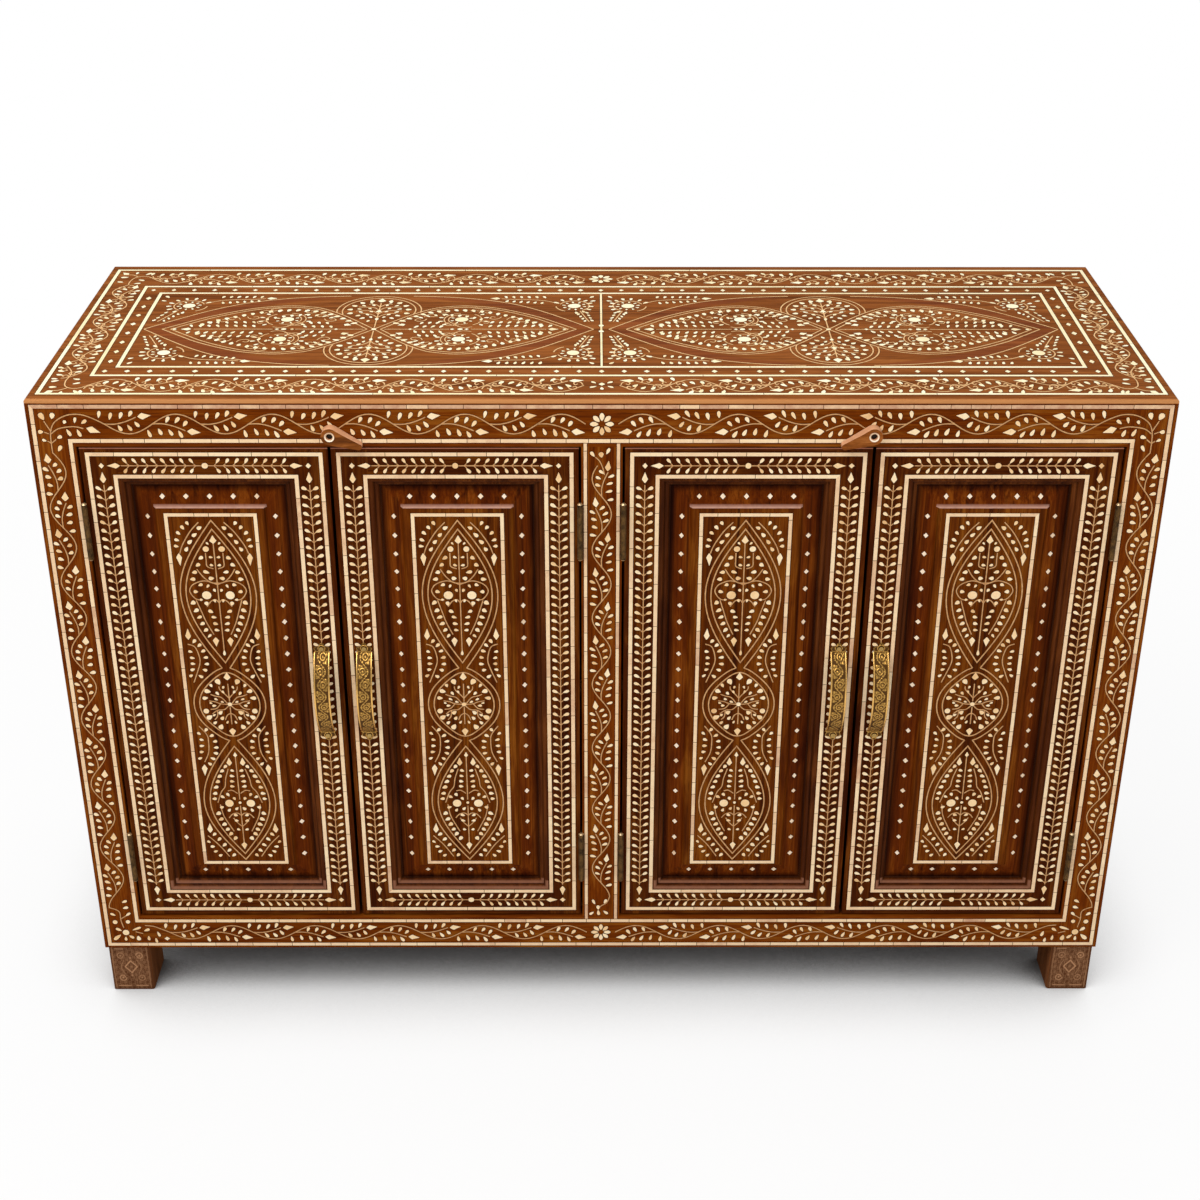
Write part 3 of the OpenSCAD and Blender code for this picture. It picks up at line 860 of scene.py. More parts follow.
def sideways(line: np.ndarray, closed: bool = False) -> np.ndarray:
    """Gives the unit direction to the left of each point of a path.

    Args:
        line: The path's points.
        closed: Whether it ends where it began.
    Returns:
        One direction for each point, lengthened in corners so that a strip keeps its width.
    """
    if closed:
        ahead, behind = np.roll(line, -1, 0), np.roll(line, 1, 0)
    else:
        ahead, behind = np.vstack([line[1:], line[-1:]]), np.vstack([line[:1], line[:-1]])
    after, before = ahead - line, line - behind
    for way in (after, before):
        way /= np.maximum(np.linalg.norm(way, axis=1, keepdims=True), 1e-9)
    way = after + before
    way /= np.maximum(np.linalg.norm(way, axis=1, keepdims=True), 1e-9)
    bend = np.clip(np.maximum((way * after).sum(1), (way * before).sum(1)), 0.6, 1.0)
    return np.column_stack([-way[:, 1], way[:, 0]]) / bend[:, None]


def place(points: np.ndarray, plane: Matrix) -> np.ndarray:
    """Carries points in a plane's millimetres to the frame's metres."""
    m = np.array(plane)
    return points @ m[:3, :3].T + m[:3, 3]


def plane_at(origin: Sequence[float], across: Sequence[float], along: Sequence[float]) -> Matrix:
    """Makes the matrix of a drawing plane.

    Args:
        origin: Its origin in millimetres.
        across: The direction of its first axis.
        along: The direction of its second axis.
    Returns:
        From the plane's millimetres to the frame's metres.
    """
    u, v = Vector(across).normalized(), Vector(along).normalized()
    n = u.cross(v)
    turn = Matrix((u, v, n)).transposed().to_4x4()
    return Matrix.Translation(Vector(origin) * MM) @ turn @ Matrix.Scale(MM, 4)


def polar(radius: float, angle: float, x: float = 0.0, y: float = 0.0) -> Point:
    """Gives the point at a distance from a centre, in a direction in degrees."""
    return x + radius * math.cos(math.radians(angle)), y + radius * math.sin(math.radians(angle))


def arc(center: Point, radius: float, start: float, end: float, steps: int) -> Path:
    """Gives points on an arc, its angles in degrees."""
    return [polar(radius, start + (end - start) * i / steps, *center) for i in range(steps + 1)]


def smooth(points: Sequence[Point], steps: int = 6) -> Path:
    """Runs a smooth curve through points.

    Args:
        points: The points to pass.
        steps: How many steps between two of them.
    Returns:
        The curve's points.
    """
    pts = [points[0], *points, points[-1]]
    out: Path = []
    for p0, p1, p2, p3 in zip(pts, pts[1:], pts[2:], pts[3:]):
        for i in range(steps):
            t = i / steps
            out.append(tuple(0.5 * (2 * b + (c - a) * t + (2 * a - 5 * b + 4 * c - d) * t * t
                                    + (3 * b - a - 3 * c + d) * t ** 3)
                             for a, b, c, d in zip(p0, p1, p2, p3)))
    out.append(tuple(points[-1]))
    return out


def walk(path: Sequence[Point], pitch: float, start: float = 0.0, stop: float = 0.0
         ) -> list[tuple[float, float, float]]:
    """Steps evenly along a path.

    Args:
        path: The path's points.
        pitch: The usual distance between two steps.
        start: How far from its beginning the first step lies.
        stop: How far from its end the last step lies.
    Returns:
        Each step's place and its direction in degrees.
    """
    line = np.array(path, float)
    run = np.concatenate([[0.0], np.cumsum(np.linalg.norm(np.diff(line, axis=0), axis=1))])
    length = run[-1] - start - stop
    count = max(1, round(length / pitch))
    out = []
    for i in range(count + 1):
        s = start + length * i / count
        k = min(len(line) - 2, int(np.searchsorted(run, s, side="right")) - 1)
        t = (s - run[k]) / max(1e-9, run[k + 1] - run[k])
        x, y = line[k] + (line[k + 1] - line[k]) * t
        dx, dy = line[k + 1] - line[k]
        out.append((float(x), float(y), math.degrees(math.atan2(dy, dx))))
    return out


@dataclass
class Inlay:
    """Bone, stems and their dark bed on one surface of the sideboard."""

    name: str
    body: str
    plane: Matrix
    rng: random.Random
    stem_width: float = 1.5
    bone: Plates = field(default_factory=Plates)
    lines: Plates = field(default_factory=Plates)
    stems: Plates = field(default_factory=Plates)
    bands: Plates = field(default_factory=Plates)
    bed: Plates = field(default_factory=Plates)
    bone_rise: float = 0.15
    line_rise: float = 0.14
    stem_rise: float = 0.10
    bed_rise: float = 0.04
    loose: float = 0.02
    sink: float = 0.2
    margin: float = 0.8
    joint: float = 0.7
    leaf_tone: Point = (0.32, 0.24)
    line_tone: float = 0.38
    line_spread: float = 0.2
    stem_margin: float = 0.55

    def lie(self, rise: float, tone: Point | None = None, play: float = 1.0) -> Lie:
        """Draws how a plate lies, so that no two faces share a plane.

        Args:
            rise: The least that it stands over the plane.
            tone: The middle and the spread of its tone, which else is 0.5.
            play: How much of the usual difference in height it has.
        Returns:
            How it lies.
        """
        over = rise + self.rng.uniform(0.0, self.loose) * play
        drawn = min(1.0, max(0.0, self.rng.gauss(*tone))) if tone else 0.5
        return Lie(over, self.sink, self.plane, drawn)

    def piece(self, shape: Outline, x: float, y: float, turn: float, length: float, width: float) -> None:
        """Lets in one piece of bone.

        Args:
            shape: Its outline.
            x: Where its middle lies across the plane.
            y: Where its middle lies along the plane.
            turn: The direction of its forward end, in degrees.
            length: Its length.
            width: Its width.
        """
        for plates, grow, rise in ((self.bone, 0.0, self.bone_rise),
                                   (self.bed, self.margin, self.bed_rise)):
            plates.copy(shape, (length + 2 * grow, width + 2 * grow), turn, (x, y),
                        self.lie(rise, self.leaf_tone))

    def leaf(self, x: float, y: float, turn: float, length: float = 10.0, width: float = 5.0) -> None:
        """Lets in a leaf whose fat end points along turn.

        Args:
            x: Where its middle lies across.
            y: Where its middle lies along.
            turn: The direction of its forward end, in degrees.
            length: Its length.
            width: Its width.
        """
        wobble = self.rng.uniform(-7, 7)
        size = self.rng.uniform(0.90, 1.06)
        self.piece(Outline.LEAF, x, y, turn + wobble, length * size, width * self.rng.uniform(0.92, 1.08))

    def kite(self, x: float, y: float, turn: float, length: float = 17.0, width: float = 9.0) -> None:
        """Lets in a kite that points along turn."""
        self.piece(Outline.KITE, x, y, turn, length, width)

    def diamond(self, x: float, y: float, size: float = 6.6, tall: float = 1.0) -> None:
        """Lets in an upright diamond."""
        self.piece(Outline.DIAMOND, x, y, 0.0, size * self.rng.uniform(0.9, 1.08),
                   size * tall * self.rng.uniform(0.9, 1.08))

    def dot(self, x: float, y: float, radius: float) -> None:
        """Lets in a round piece."""
        self.piece(Outline.DOT, x, y, self.rng.uniform(0, 30), 2 * radius * self.rng.uniform(0.96, 1.08),
                   2 * radius)

    def rosette(self, x: float, y: float, radius: float, petals: int = 8) -> None:
        """Lets in a flower of petals round a dark heart.

        Args:
            x: Where its middle lies across.
            y: Where its middle lies along.
            radius: Its radius.
            petals: How many petals it has.
        """
        for i in range(petals):
            a = 360 * i / petals + 90
            self.piece(Outline.PETAL, *polar(radius * 0.62, a, x, y), a, radius * 0.70, radius * 0.36)

    def stem(self, path: Sequence[Point], width: float | None = None, closed: bool = False) -> None:
        """Lets in a thin stem along a path.

        Args:
            path: Its points.
            width: Its width, where it is not the usual one.
            closed: Whether it ends where it began.
        """
        wide = width or self.stem_width
        self.stems.strip(path, wide, self.lie(self.stem_rise), closed)
        self.bed.strip(path, wide + 2 * self.stem_margin, self.lie(self.bed_rise), closed)

    def rule(self, start: Point, end: Point, width: float, piece: float,
             mitre: Point = (0.0, 0.0), tone: float | None = None) -> None:
        """Lets in a straight border strip of many pieces.

        Args:
            start: The middle of its first end.
            end: The middle of its other end.
            width: Its width.
            piece: The usual length of one piece.
            mitre: How far each end's right side runs past its middle line, for each half width.
            tone: The middle of its pieces' tones, where it has its own.
        """
        a, b = np.array(start, float), np.array(end, float)
        length = float(np.linalg.norm(b - a))
        way = (b - a) / length
        side = np.array([-way[1], way[0]]) * width / 2
        cuts = [0.0]
        while cuts[-1] < length - piece * 1.5:
            cuts.append(cuts[-1] + piece * self.rng.uniform(0.6, 1.4))
        cuts.append(length)
        for i, (c0, c1) in enumerate(zip(cuts, cuts[1:])):
            first, last = i == 0, i == len(cuts) - 2
            lean0 = mitre[0] * width / 2 if first else 0.0
            lean1 = mitre[1] * width / 2 if last else 0.0
            c0 += 0.0 if first else self.joint / 2
            c1 -= 0.0 if last else self.joint / 2
            rim = np.array([a + way * (c0 - lean0) - side, a + way * (c1 + lean1) - side,
                            a + way * (c1 - lean1) + side, a + way * (c0 + lean0) + side])
            self.lines.plate(rim, self.lie(self.line_rise, (tone or self.line_tone, self.line_spread)))
        grow = side * (1 + 2 * self.margin / width)
        m0, m1 = mitre[0] * (width / 2 + self.margin), mitre[1] * (width / 2 + self.margin)
        rim = np.array([a - way * m0 - grow, b + way * m1 - grow, b - way * m1 + grow, a + way * m0 + grow])
        self.bed.plate(rim, self.lie(self.bed_rise))

    def border(self, half_x: float, low: float, high: float, width: float, piece: float,
               top_tone: float | None = None) -> None:
        """Lets in a rectangular frame of border strips round the plane's middle line.

        Args:
            half_x: Half its width, to the strips' middles.
            low: Its low side.
            high: Its high side.
            width: The strips' width.
            piece: The usual length of one piece.
            top_tone: The middle of the high side's tones, where it has its own.
        """
        corners = [(-half_x, low), (half_x, low), (half_x, high), (-half_x, high)]
        for i, (a, b) in enumerate(zip(corners, corners[1:] + corners[:1])):
            self.rule(a, b, width, piece, (1.0, 1.0), top_tone if i == 2 else None)

    def build(self, palette: Palette, bone: Finish = Finish.LEAF, line: Finish = Finish.LINE,
              stem: Finish = Finish.STEM) -> None:
        """Makes the surface's pieces.

        Args:
            palette: Where the finishes come from.
            bone: The finish of the leaves and flowers.
            line: The finish of the border strips.
            stem: The finish of the stems.
        """
        for plates, part, slot, finish in (
                (self.bone, "leaves", "bone", bone), (self.lines, "borders", "bone", line),
                (self.stems, "stems", "stem_wood", stem), (self.bands, "bands", "top_wood", Finish.BAND),
                (self.bed, "bed", "mastic", Finish.MASTIC)):
            if plates.count:
                finish_piece(plates.build(), f"{self.name}_{part}", self.body, palette.get(finish))


@dataclass
class Sketch:
    """Draws on an inlay from its own origin, turned, mirrored and stretched."""

    inlay: Inlay
    origin: Point = (0.0, 0.0)
    turn: float = 0.0
    flip: int = 1
    stretch: float = 1.0

    @classmethod
    def half(cls, inlay: Inlay, side: int, origin: Point = (0.0, 0.0), up: int = 1,
             stretch: float = 1.0) -> "Sketch":
        """Draws on one side of an upright line.

        Args:
            inlay: Where it is let in.
            side: 1 draws to the right, -1 mirrors to the left.
            origin: Where the drawing starts.
            up: -1 mirrors it top to bottom.
            stretch: How much it is drawn out away from the line.
        Returns:
            The sketch.
        """
        return cls(inlay, origin, 90 - 90 * side, side * up, stretch)

    def at(self, x: float, y: float) -> Point:
        """Carries a drawn point to the plane.

        Args:
            x: The place along the sketch's first axis.
            y: The place along its second axis.
        Returns:
            The point in the plane.
        """
        a = math.radians(self.turn)
        u, v = x * self.stretch, y * self.flip
        return (self.origin[0] + u * math.cos(a) - v * math.sin(a),
                self.origin[1] + u * math.sin(a) + v * math.cos(a))

    def way(self, angle: float) -> float:
        """Carries a drawn direction to the plane."""
        return self.turn + self.flip * angle

    def leaf(self, x: float, y: float, angle: float, *size: float) -> None:
        """Draws a leaf."""
        self.inlay.leaf(*self.at(x, y), self.way(angle), *size)

    def leaves(self, *marks: Sequence[float]) -> None:
        """Draws many leaves, each as its place, direction, length and width."""
        for mark in marks:
            self.leaf(*mark)

    def kite(self, x: float, y: float, angle: float, *size: float) -> None:
        """Draws a kite."""
        self.inlay.kite(*self.at(x, y), self.way(angle), *size)

    def kites(self, *marks: Sequence[float]) -> None:
        """Draws many kites, each as its place, direction, length and width."""
        for mark in marks:
            self.kite(*mark)

    def dot(self, x: float, y: float, radius: float) -> None:
        """Draws a round piece."""
        self.inlay.dot(*self.at(x, y), radius)

    def stem(self, points: Sequence[Point], width: float | None = None, steps: int = 5) -> None:
        """Draws a smooth stem through points."""
        self.inlay.stem([self.at(*p) for p in smooth(points, steps)], width)

    def stems(self, *paths: Sequence[Point]) -> None:
        """Draws many smooth stems."""
        for path in paths:
            self.stem(path)


# Patterns of the front


@dataclass
class Vine:
    """A waving stem with a spray of leaves in each half wave."""

    swing: float = 13.0
    reach: float = 1.0
    length: float = 10.0
    width: float = 5.0
    kite_y: float = -10.5
    hooks: bool = False
    usual_step: float = 59.5

    def run(self, pen: Sketch, count: int, step: float, skip: int = 0, start: float = 0.0,
            end: float = 0.0) -> None:
        """Draws the vine along the sketch's own X axis, its first arch towards +Y.

        Args:
            pen: The sketch.
            count: How many half waves it has.
            step: The length of one.
            skip: How many of them have no leaves, from the first.
            start: How far past the first crossing its stem starts.
            end: How far short of the last crossing it ends.
        """
        last = count * step - end
        places = [start + (last - start) * i / (count * 12) for i in range(count * 12 + 1)]
        pen.inlay.stem([pen.at(x, self.swing * math.sin(math.pi * x / step)) for x in places])
        for i in range(skip, count):
            self._spray(pen, i * step, step / self.usual_step, 1 if i % 2 == 0 else -1)

    def _spray(self, pen: Sketch, x0: float, k: float, arch: int) -> None:
        """Draws the branch, leaves and kite of one half wave.

        Args:
            pen: The sketch.
            x0: Where the half wave starts.
            k: Its length as a share of the usual one.
            arch: The side that the stem arches to.
        """
        q = self.reach * arch
        branch = ((0, 0), (12, 0.3), (24, -2.2), (36, -7), (40, -9))
        pen.stem([(x0 + x * k, y * q) for x, y in branch], None, 4)
        for x, y, angle in ((-5, -12.6, -78), (8.6, -10.2, -70), (21.6, -11.2, -66), (33.6, -13.4, -62)):
            pen.leaf(x0 + x * k, y * q, arch * angle, self.length, self.width)
        for x, y, angle in ((19, 5.6, 62), (31, 5.0, 58), (40.5, 0.4, 52)):
            pen.leaf(x0 + x * k, y * q, arch * angle, self.length * 0.94, self.width)
        pen.kite(x0 + 50.5 * k, self.kite_y * q, -arch * 6, 1.65 * self.length, 1.75 * self.width)
        if not self.hooks:
            return
        hook = ((-6, -3), (-4, 2), (1, 4), (5, 1), (3, -3), (0, -1))
        for x, y, turn in ((3, -4.5, 1), (27, -8.5, -1), (46, 4.5, 1), (52, -4.0, -1), (14, 1.5, -1)):
            pen.stem([(x0 + (x + a * turn) * k, (y + b * 0.9 * turn) * q) for a, b in hook], None, 3)


@dataclass
class CaseFront:
    """The inlay of the face frame."""

    outer_x: float = 692.6
    outer_low: float = 85.6
    outer_high: float = 902.6
    inner_x: float = 650.1
    inner_low: float = 126.6
    inner_high: float = 857.6
    centre_x: float = 20.4
    strip: float = 4.8
    piece: float = 34.0
    centre_strip: float = 4.0
    centre_piece: float = 30.0
    # Painted shade: the outer border's top strip is toned darker, as under the top's overhang.
    overhang_shade_tone: float = 1.05
    rail_z: float = 880.0
    foot_rail_z: float = 106.5
    rail_end: float = 606.0
    stile_x: float = 673.5

    def build(self, palette: Palette, rng: random.Random) -> None:
        """Draws and makes the face frame's inlay.

        Args:
            palette: Where the finishes come from.
            rng: Where its random draws come from.
        """
        inlay = Inlay("frame_inlay", "carcass", plane_at((0, FRONT_Y, 0), (1, 0, 0), (0, 0, 1)), rng)
        inlay.border(self.outer_x, self.outer_low, self.outer_high, self.strip, self.piece, self.overhang_shade_tone)
        inlay.border(self.inner_x, self.inner_low, self.inner_high, self.strip, self.piece)
        for x in (-self.centre_x, self.centre_x):
            inlay.rule((x, self.inner_low + 3.4), (x, self.inner_high - 3.4), self.centre_strip,
                       self.centre_piece)
        self._rails(inlay)
        for side in (-1, 1):
            self._outer_stile(inlay, side)
            self._top_corner(Sketch.half(inlay, side))
            self._foot_corner(Sketch.half(inlay, side))
        self._centre_stile(inlay)
        inlay.build(palette)

    def _rails(self, inlay: Inlay) -> None:
        """Draws the vines and flowers of the top and bottom rails.

        Args:
            inlay: Where they are let in.
        """
        foot_vine = Vine(swing=11.6, reach=0.9, length=9.4, width=4.7, kite_y=-9.6)
        for z, vine, flower in ((self.rail_z, Vine(), 15.2), (self.foot_rail_z, foot_vine, 14.2)):
            inlay.rosette(0, z, flower)
            for side in (-1, 1):
                vine.run(Sketch(inlay, (side * self.rail_end, z), 90 + side * 90, side), 10, 58.6)

    def _outer_stile(self, inlay: Inlay, side: int) -> None:
        """Draws the vine of an outer stile."""
        vine = Vine(swing=12.8, reach=0.86, length=7.9, width=5.2, kite_y=-8.8)
        vine.run(Sketch(inlay, (side * self.stile_x, 123.6), 90, -side), 14, 51.3, skip=1, start=25.6)

    def _centre_stile(self, inlay: Inlay) -> None:
        """Draws the vine of the centre stile and the clusters at its ends.

        Args:
            inlay: Where it is let in.
        """
        vine = Vine(swing=12.0, reach=0.86, length=8.6, width=4.3, kite_y=-9.0)
        vine.run(Sketch(inlay, (0, 142.8), 90, -1), 14, 49.2, skip=1, start=24.2, end=7.0)
        pen = Sketch(inlay)
        pen.leaves((-11.4, 840, 130, 9, 4.6), (-0.8, 839, 90, 8, 6.5), (7.6, 844, 60, 9, 4.6),
                   (-10, 159, 120, 8.5, 4.4), (6, 160, 60, 8.5, 4.4), (-13, 139.5, 225, 8, 4),
                   (6.5, 141, -45, 8.5, 4.4), (-3.5, 140.5, -90, 8.5, 4.4), (-4, 149.6, 90, 7, 5))
        pen.stem(((3.4, 812), (1.0, 822), (-3, 831), (-8, 836)), None, 4)
        pen.stem(((12, 168), (8, 158), (0, 152), (-4, 146)), None, 4)

    @staticmethod
    def _top_corner(pen: Sketch) -> None:
        """Draws the stem that joins a stile's vine to the top rail's, with its leaves.

        Args:
            pen: The sketch that it is drawn on.
        """
        pen.stems(((606, 880), (614, 884.6), (622, 888.5), (631, 891.8), (640, 892.8), (650, 891.5),
                   (660, 887), (668, 880), (672.5, 869), (673.5, 855), (673.5, 841.6)),
                  ((672, 867), (664, 873), (654, 875.6), (642, 876.4), (632, 874)),
                  ((672.5, 871), (679, 884)), ((675, 867), (680.5, 869.4)),
                  ((672.5, 855), (667, 859.5)), ((674, 855), (677.6, 857.4)))
        pen.leaves((680.8, 889.8, 60, 10, 8), (668, 890.6, 100, 9, 6.4), (684.4, 869.6, 0, 6.5, 5.4),
                   (654, 882.4, 120, 5.5, 4.5), (641, 885, 110, 8, 3.8), (630.4, 882.8, 140, 8.6, 4.4),
                   (650.4, 868.6, 250, 10, 5), (638, 868, 255, 10, 5), (662.4, 862.6, 155, 7.4, 5),
                   (681.5, 858.4, 25, 6, 4), (664, 847.6, 125, 9, 5))
        pen.kite(620, 871.6, 200, 17.5, 9)

    @staticmethod
    def _foot_corner(pen: Sketch) -> None:
        """Draws the flower and stems where a stile's vine meets the bottom rail's.

        Args:
            pen: The sketch that it is drawn on.
        """
        pen.dot(667.8, 106.3, 4.6)
        pen.dot(681, 124.5, 3.4)
        pen.dot(663, 125, 3.0)
        pen.stems(((670, 114.5), (672.6, 128), (673.5, 143), (687, 150)), ((672.5, 130), (664, 135.6)),
                  ((640, 118.5), (628, 117), (617, 112), (606, 106.5)), ((654, 107.6), (644, 104.4)))
        pen.leaves((677.4, 111.4, 35, 9, 5), (680.6, 98, -42, 14, 6), (660.6, 98.6, 220, 9, 4.6),
                   (669, 95.6, -90, 8, 4.6), (652, 113, 160, 15, 4.2), (682.6, 137.8, 30, 8.6, 4.6),
                   (661.4, 138, 140, 8.6, 4.6), (663.6, 149.4, 160, 8.6, 4.6),
                   (664, 160, 150, 8.6, 4.6), (638, 110.6, 150, 9, 4.6), (622, 103.4, 250, 9, 4.6),
                   (651, 96.4, 260, 9, 7), (636.6, 96.4, 262, 8.4, 4.4), (626.4, 92.6, 255, 8, 4.2))
        pen.inlay.diamond(*pen.at(611, 95.6), 8.4, 0.8)


@dataclass
class DoorDress:
    """The inlay of one door."""

    name: str
    centre_x: float
    strip: float = 4.8
    piece: float = 44.0
    panel_strip: float = 4.4
    panel_piece: float = 30.0
    outer: Point = (143.4, 346.3)
    row: Point = (127.4, 331.0)
    inner: Point = (111.7, 316.3)
    field_strip: Point = (55.9, 265.6)
    pitch: float = 11.7
    field_depth: float = 1.5
    motif_z: float = 490.0

    def _inlay(self, part: str, depth: float, rng: random.Random, z: float = DOOR_Z) -> Inlay:
        """Starts the inlay of one of the door's surfaces."""
        plane = plane_at((self.centre_x, FRONT_Y + DOOR_RECESS + depth, z), (1, 0, 0), (0, 0, 1))
        return Inlay(f"{self.name}_{part}", self.name, plane, rng)

    def build(self, palette: Palette, rng: random.Random) -> None:
        """Draws and makes the door's inlay.

        Args:
            palette: Where the finishes come from.
            rng: Where its random draws come from.
        """
        ring = self._inlay("frame_inlay", 0.0, rng)
        ring.stem_width = 1.3
        for half_x, half_z in (self.outer, self.inner):
            ring.border(half_x, -half_z, half_z, self.strip, self.piece)
        for side in (-1, 1):
            self._column(Sketch.half(ring, side))
            for up in (-1, 1):
                self._half_row(Sketch.half(ring, side, (0, 0), up))
        for up in (-1, 1):
            ring.dot(0, up * self.row[1], 3.8)
        ring.build(palette)
        slope = self._inlay("slope_inlay", 0.0, rng)
        self._slopes(slope)
        slope.build(palette, Finish.SLOPE)
        panel = self._inlay("panel_inlay", self.field_depth, rng, self.motif_z)
        panel.stem_width = 1.5
        panel.margin = 0.7
        half_x, half_z = self.field_strip
        panel.border(half_x, -half_z, half_z, self.panel_strip, self.panel_piece)
        PanelMotif().draw(panel)
        panel.build(palette)

    def _column(self, pen: Sketch) -> None:
        """Draws an upright row of paired leaves, with a kite and a diamond at each end.

        Args:
            pen: The sketch that it is drawn on.
        """
        x, top = self.row
        reach = top - 26
        pen.stem([(x, -reach), (x, reach)], None, 1)
        count = int(2 * reach / self.pitch)
        for i in range(count):
            z = -reach + (i + 0.35) * 2 * reach / count
            for s in (-1, 1):
                pen.leaf(x + s * 7.0, z + 2.8, 90 - s * 62, 8.4, 4.9)
                pen.stem([(x, z - 2.0), (x + s * 3.2, z + 1.0)], 1.2, 1)
        for s in (-1, 1):
            pen.kite(x, s * (top - 16), s * 90, 15, 7.6)
            pen.inlay.diamond(*pen.at(x, s * top), 7.2)

    def _half_row(self, pen: Sketch) -> None:
        """Draws half a level row of paired leaves, which grows from its middle dot.

        Args:
            pen: The sketch that it is drawn on.
        """
        end, z = self.row
        reach = end - 24
        pen.stem([(4, z), (reach, z)], None, 1)
        pen.kite(end - 15, z, 0, 16, 7.4)
        count = round((reach - 8) / self.pitch)
        for i in range(count):
            x = 9 + (i + 0.35) * (reach - 10) / count
            for s in (-1, 1):
                pen.leaf(x + 3.2, z + s * 6.6, 90 * s - s * 34, 8.2, 4.2)
                pen.stem([(x - 2.0, z), (x + 1.0, z + s * 3.0)], 1.2, 1)

    def _slopes(self, slope: Inlay) -> None:
        """Draws the small diamonds on the panel's four sloping margins.

        Args:
            slope: The inlay, whose plane is moved from slope to slope.
        """
        across, depth_out, depth_in, row = 23.5, 13.0, 6.5, 14.2
        half_x, half_z = 94.25, 299.5
        lift = (depth_out - depth_in) / across
        base = FRONT_Y + DOOR_RECESS + depth_out - row * lift
        for side in (-1, 1):
            x, z = side * (half_x - row), side * (half_z - row)
            slope.plane = plane_at((self.centre_x + x, base, DOOR_Z), (1, side * lift, 0), (0, 0, 1))
            for i in range(22):
                t = (i - 10.5) / 10.5
                slope.diamond(0, 247.8 * t + 10.0 * t * abs(t) ** 3, 6.7, 1.1)
            slope.plane = plane_at((self.centre_x, base, DOOR_Z + z), (1, 0, 0), (0, side * lift, 1))
            for i in range(-2, 3):
                slope.diamond(i * 29.5, 0, 6.7, 1.1)


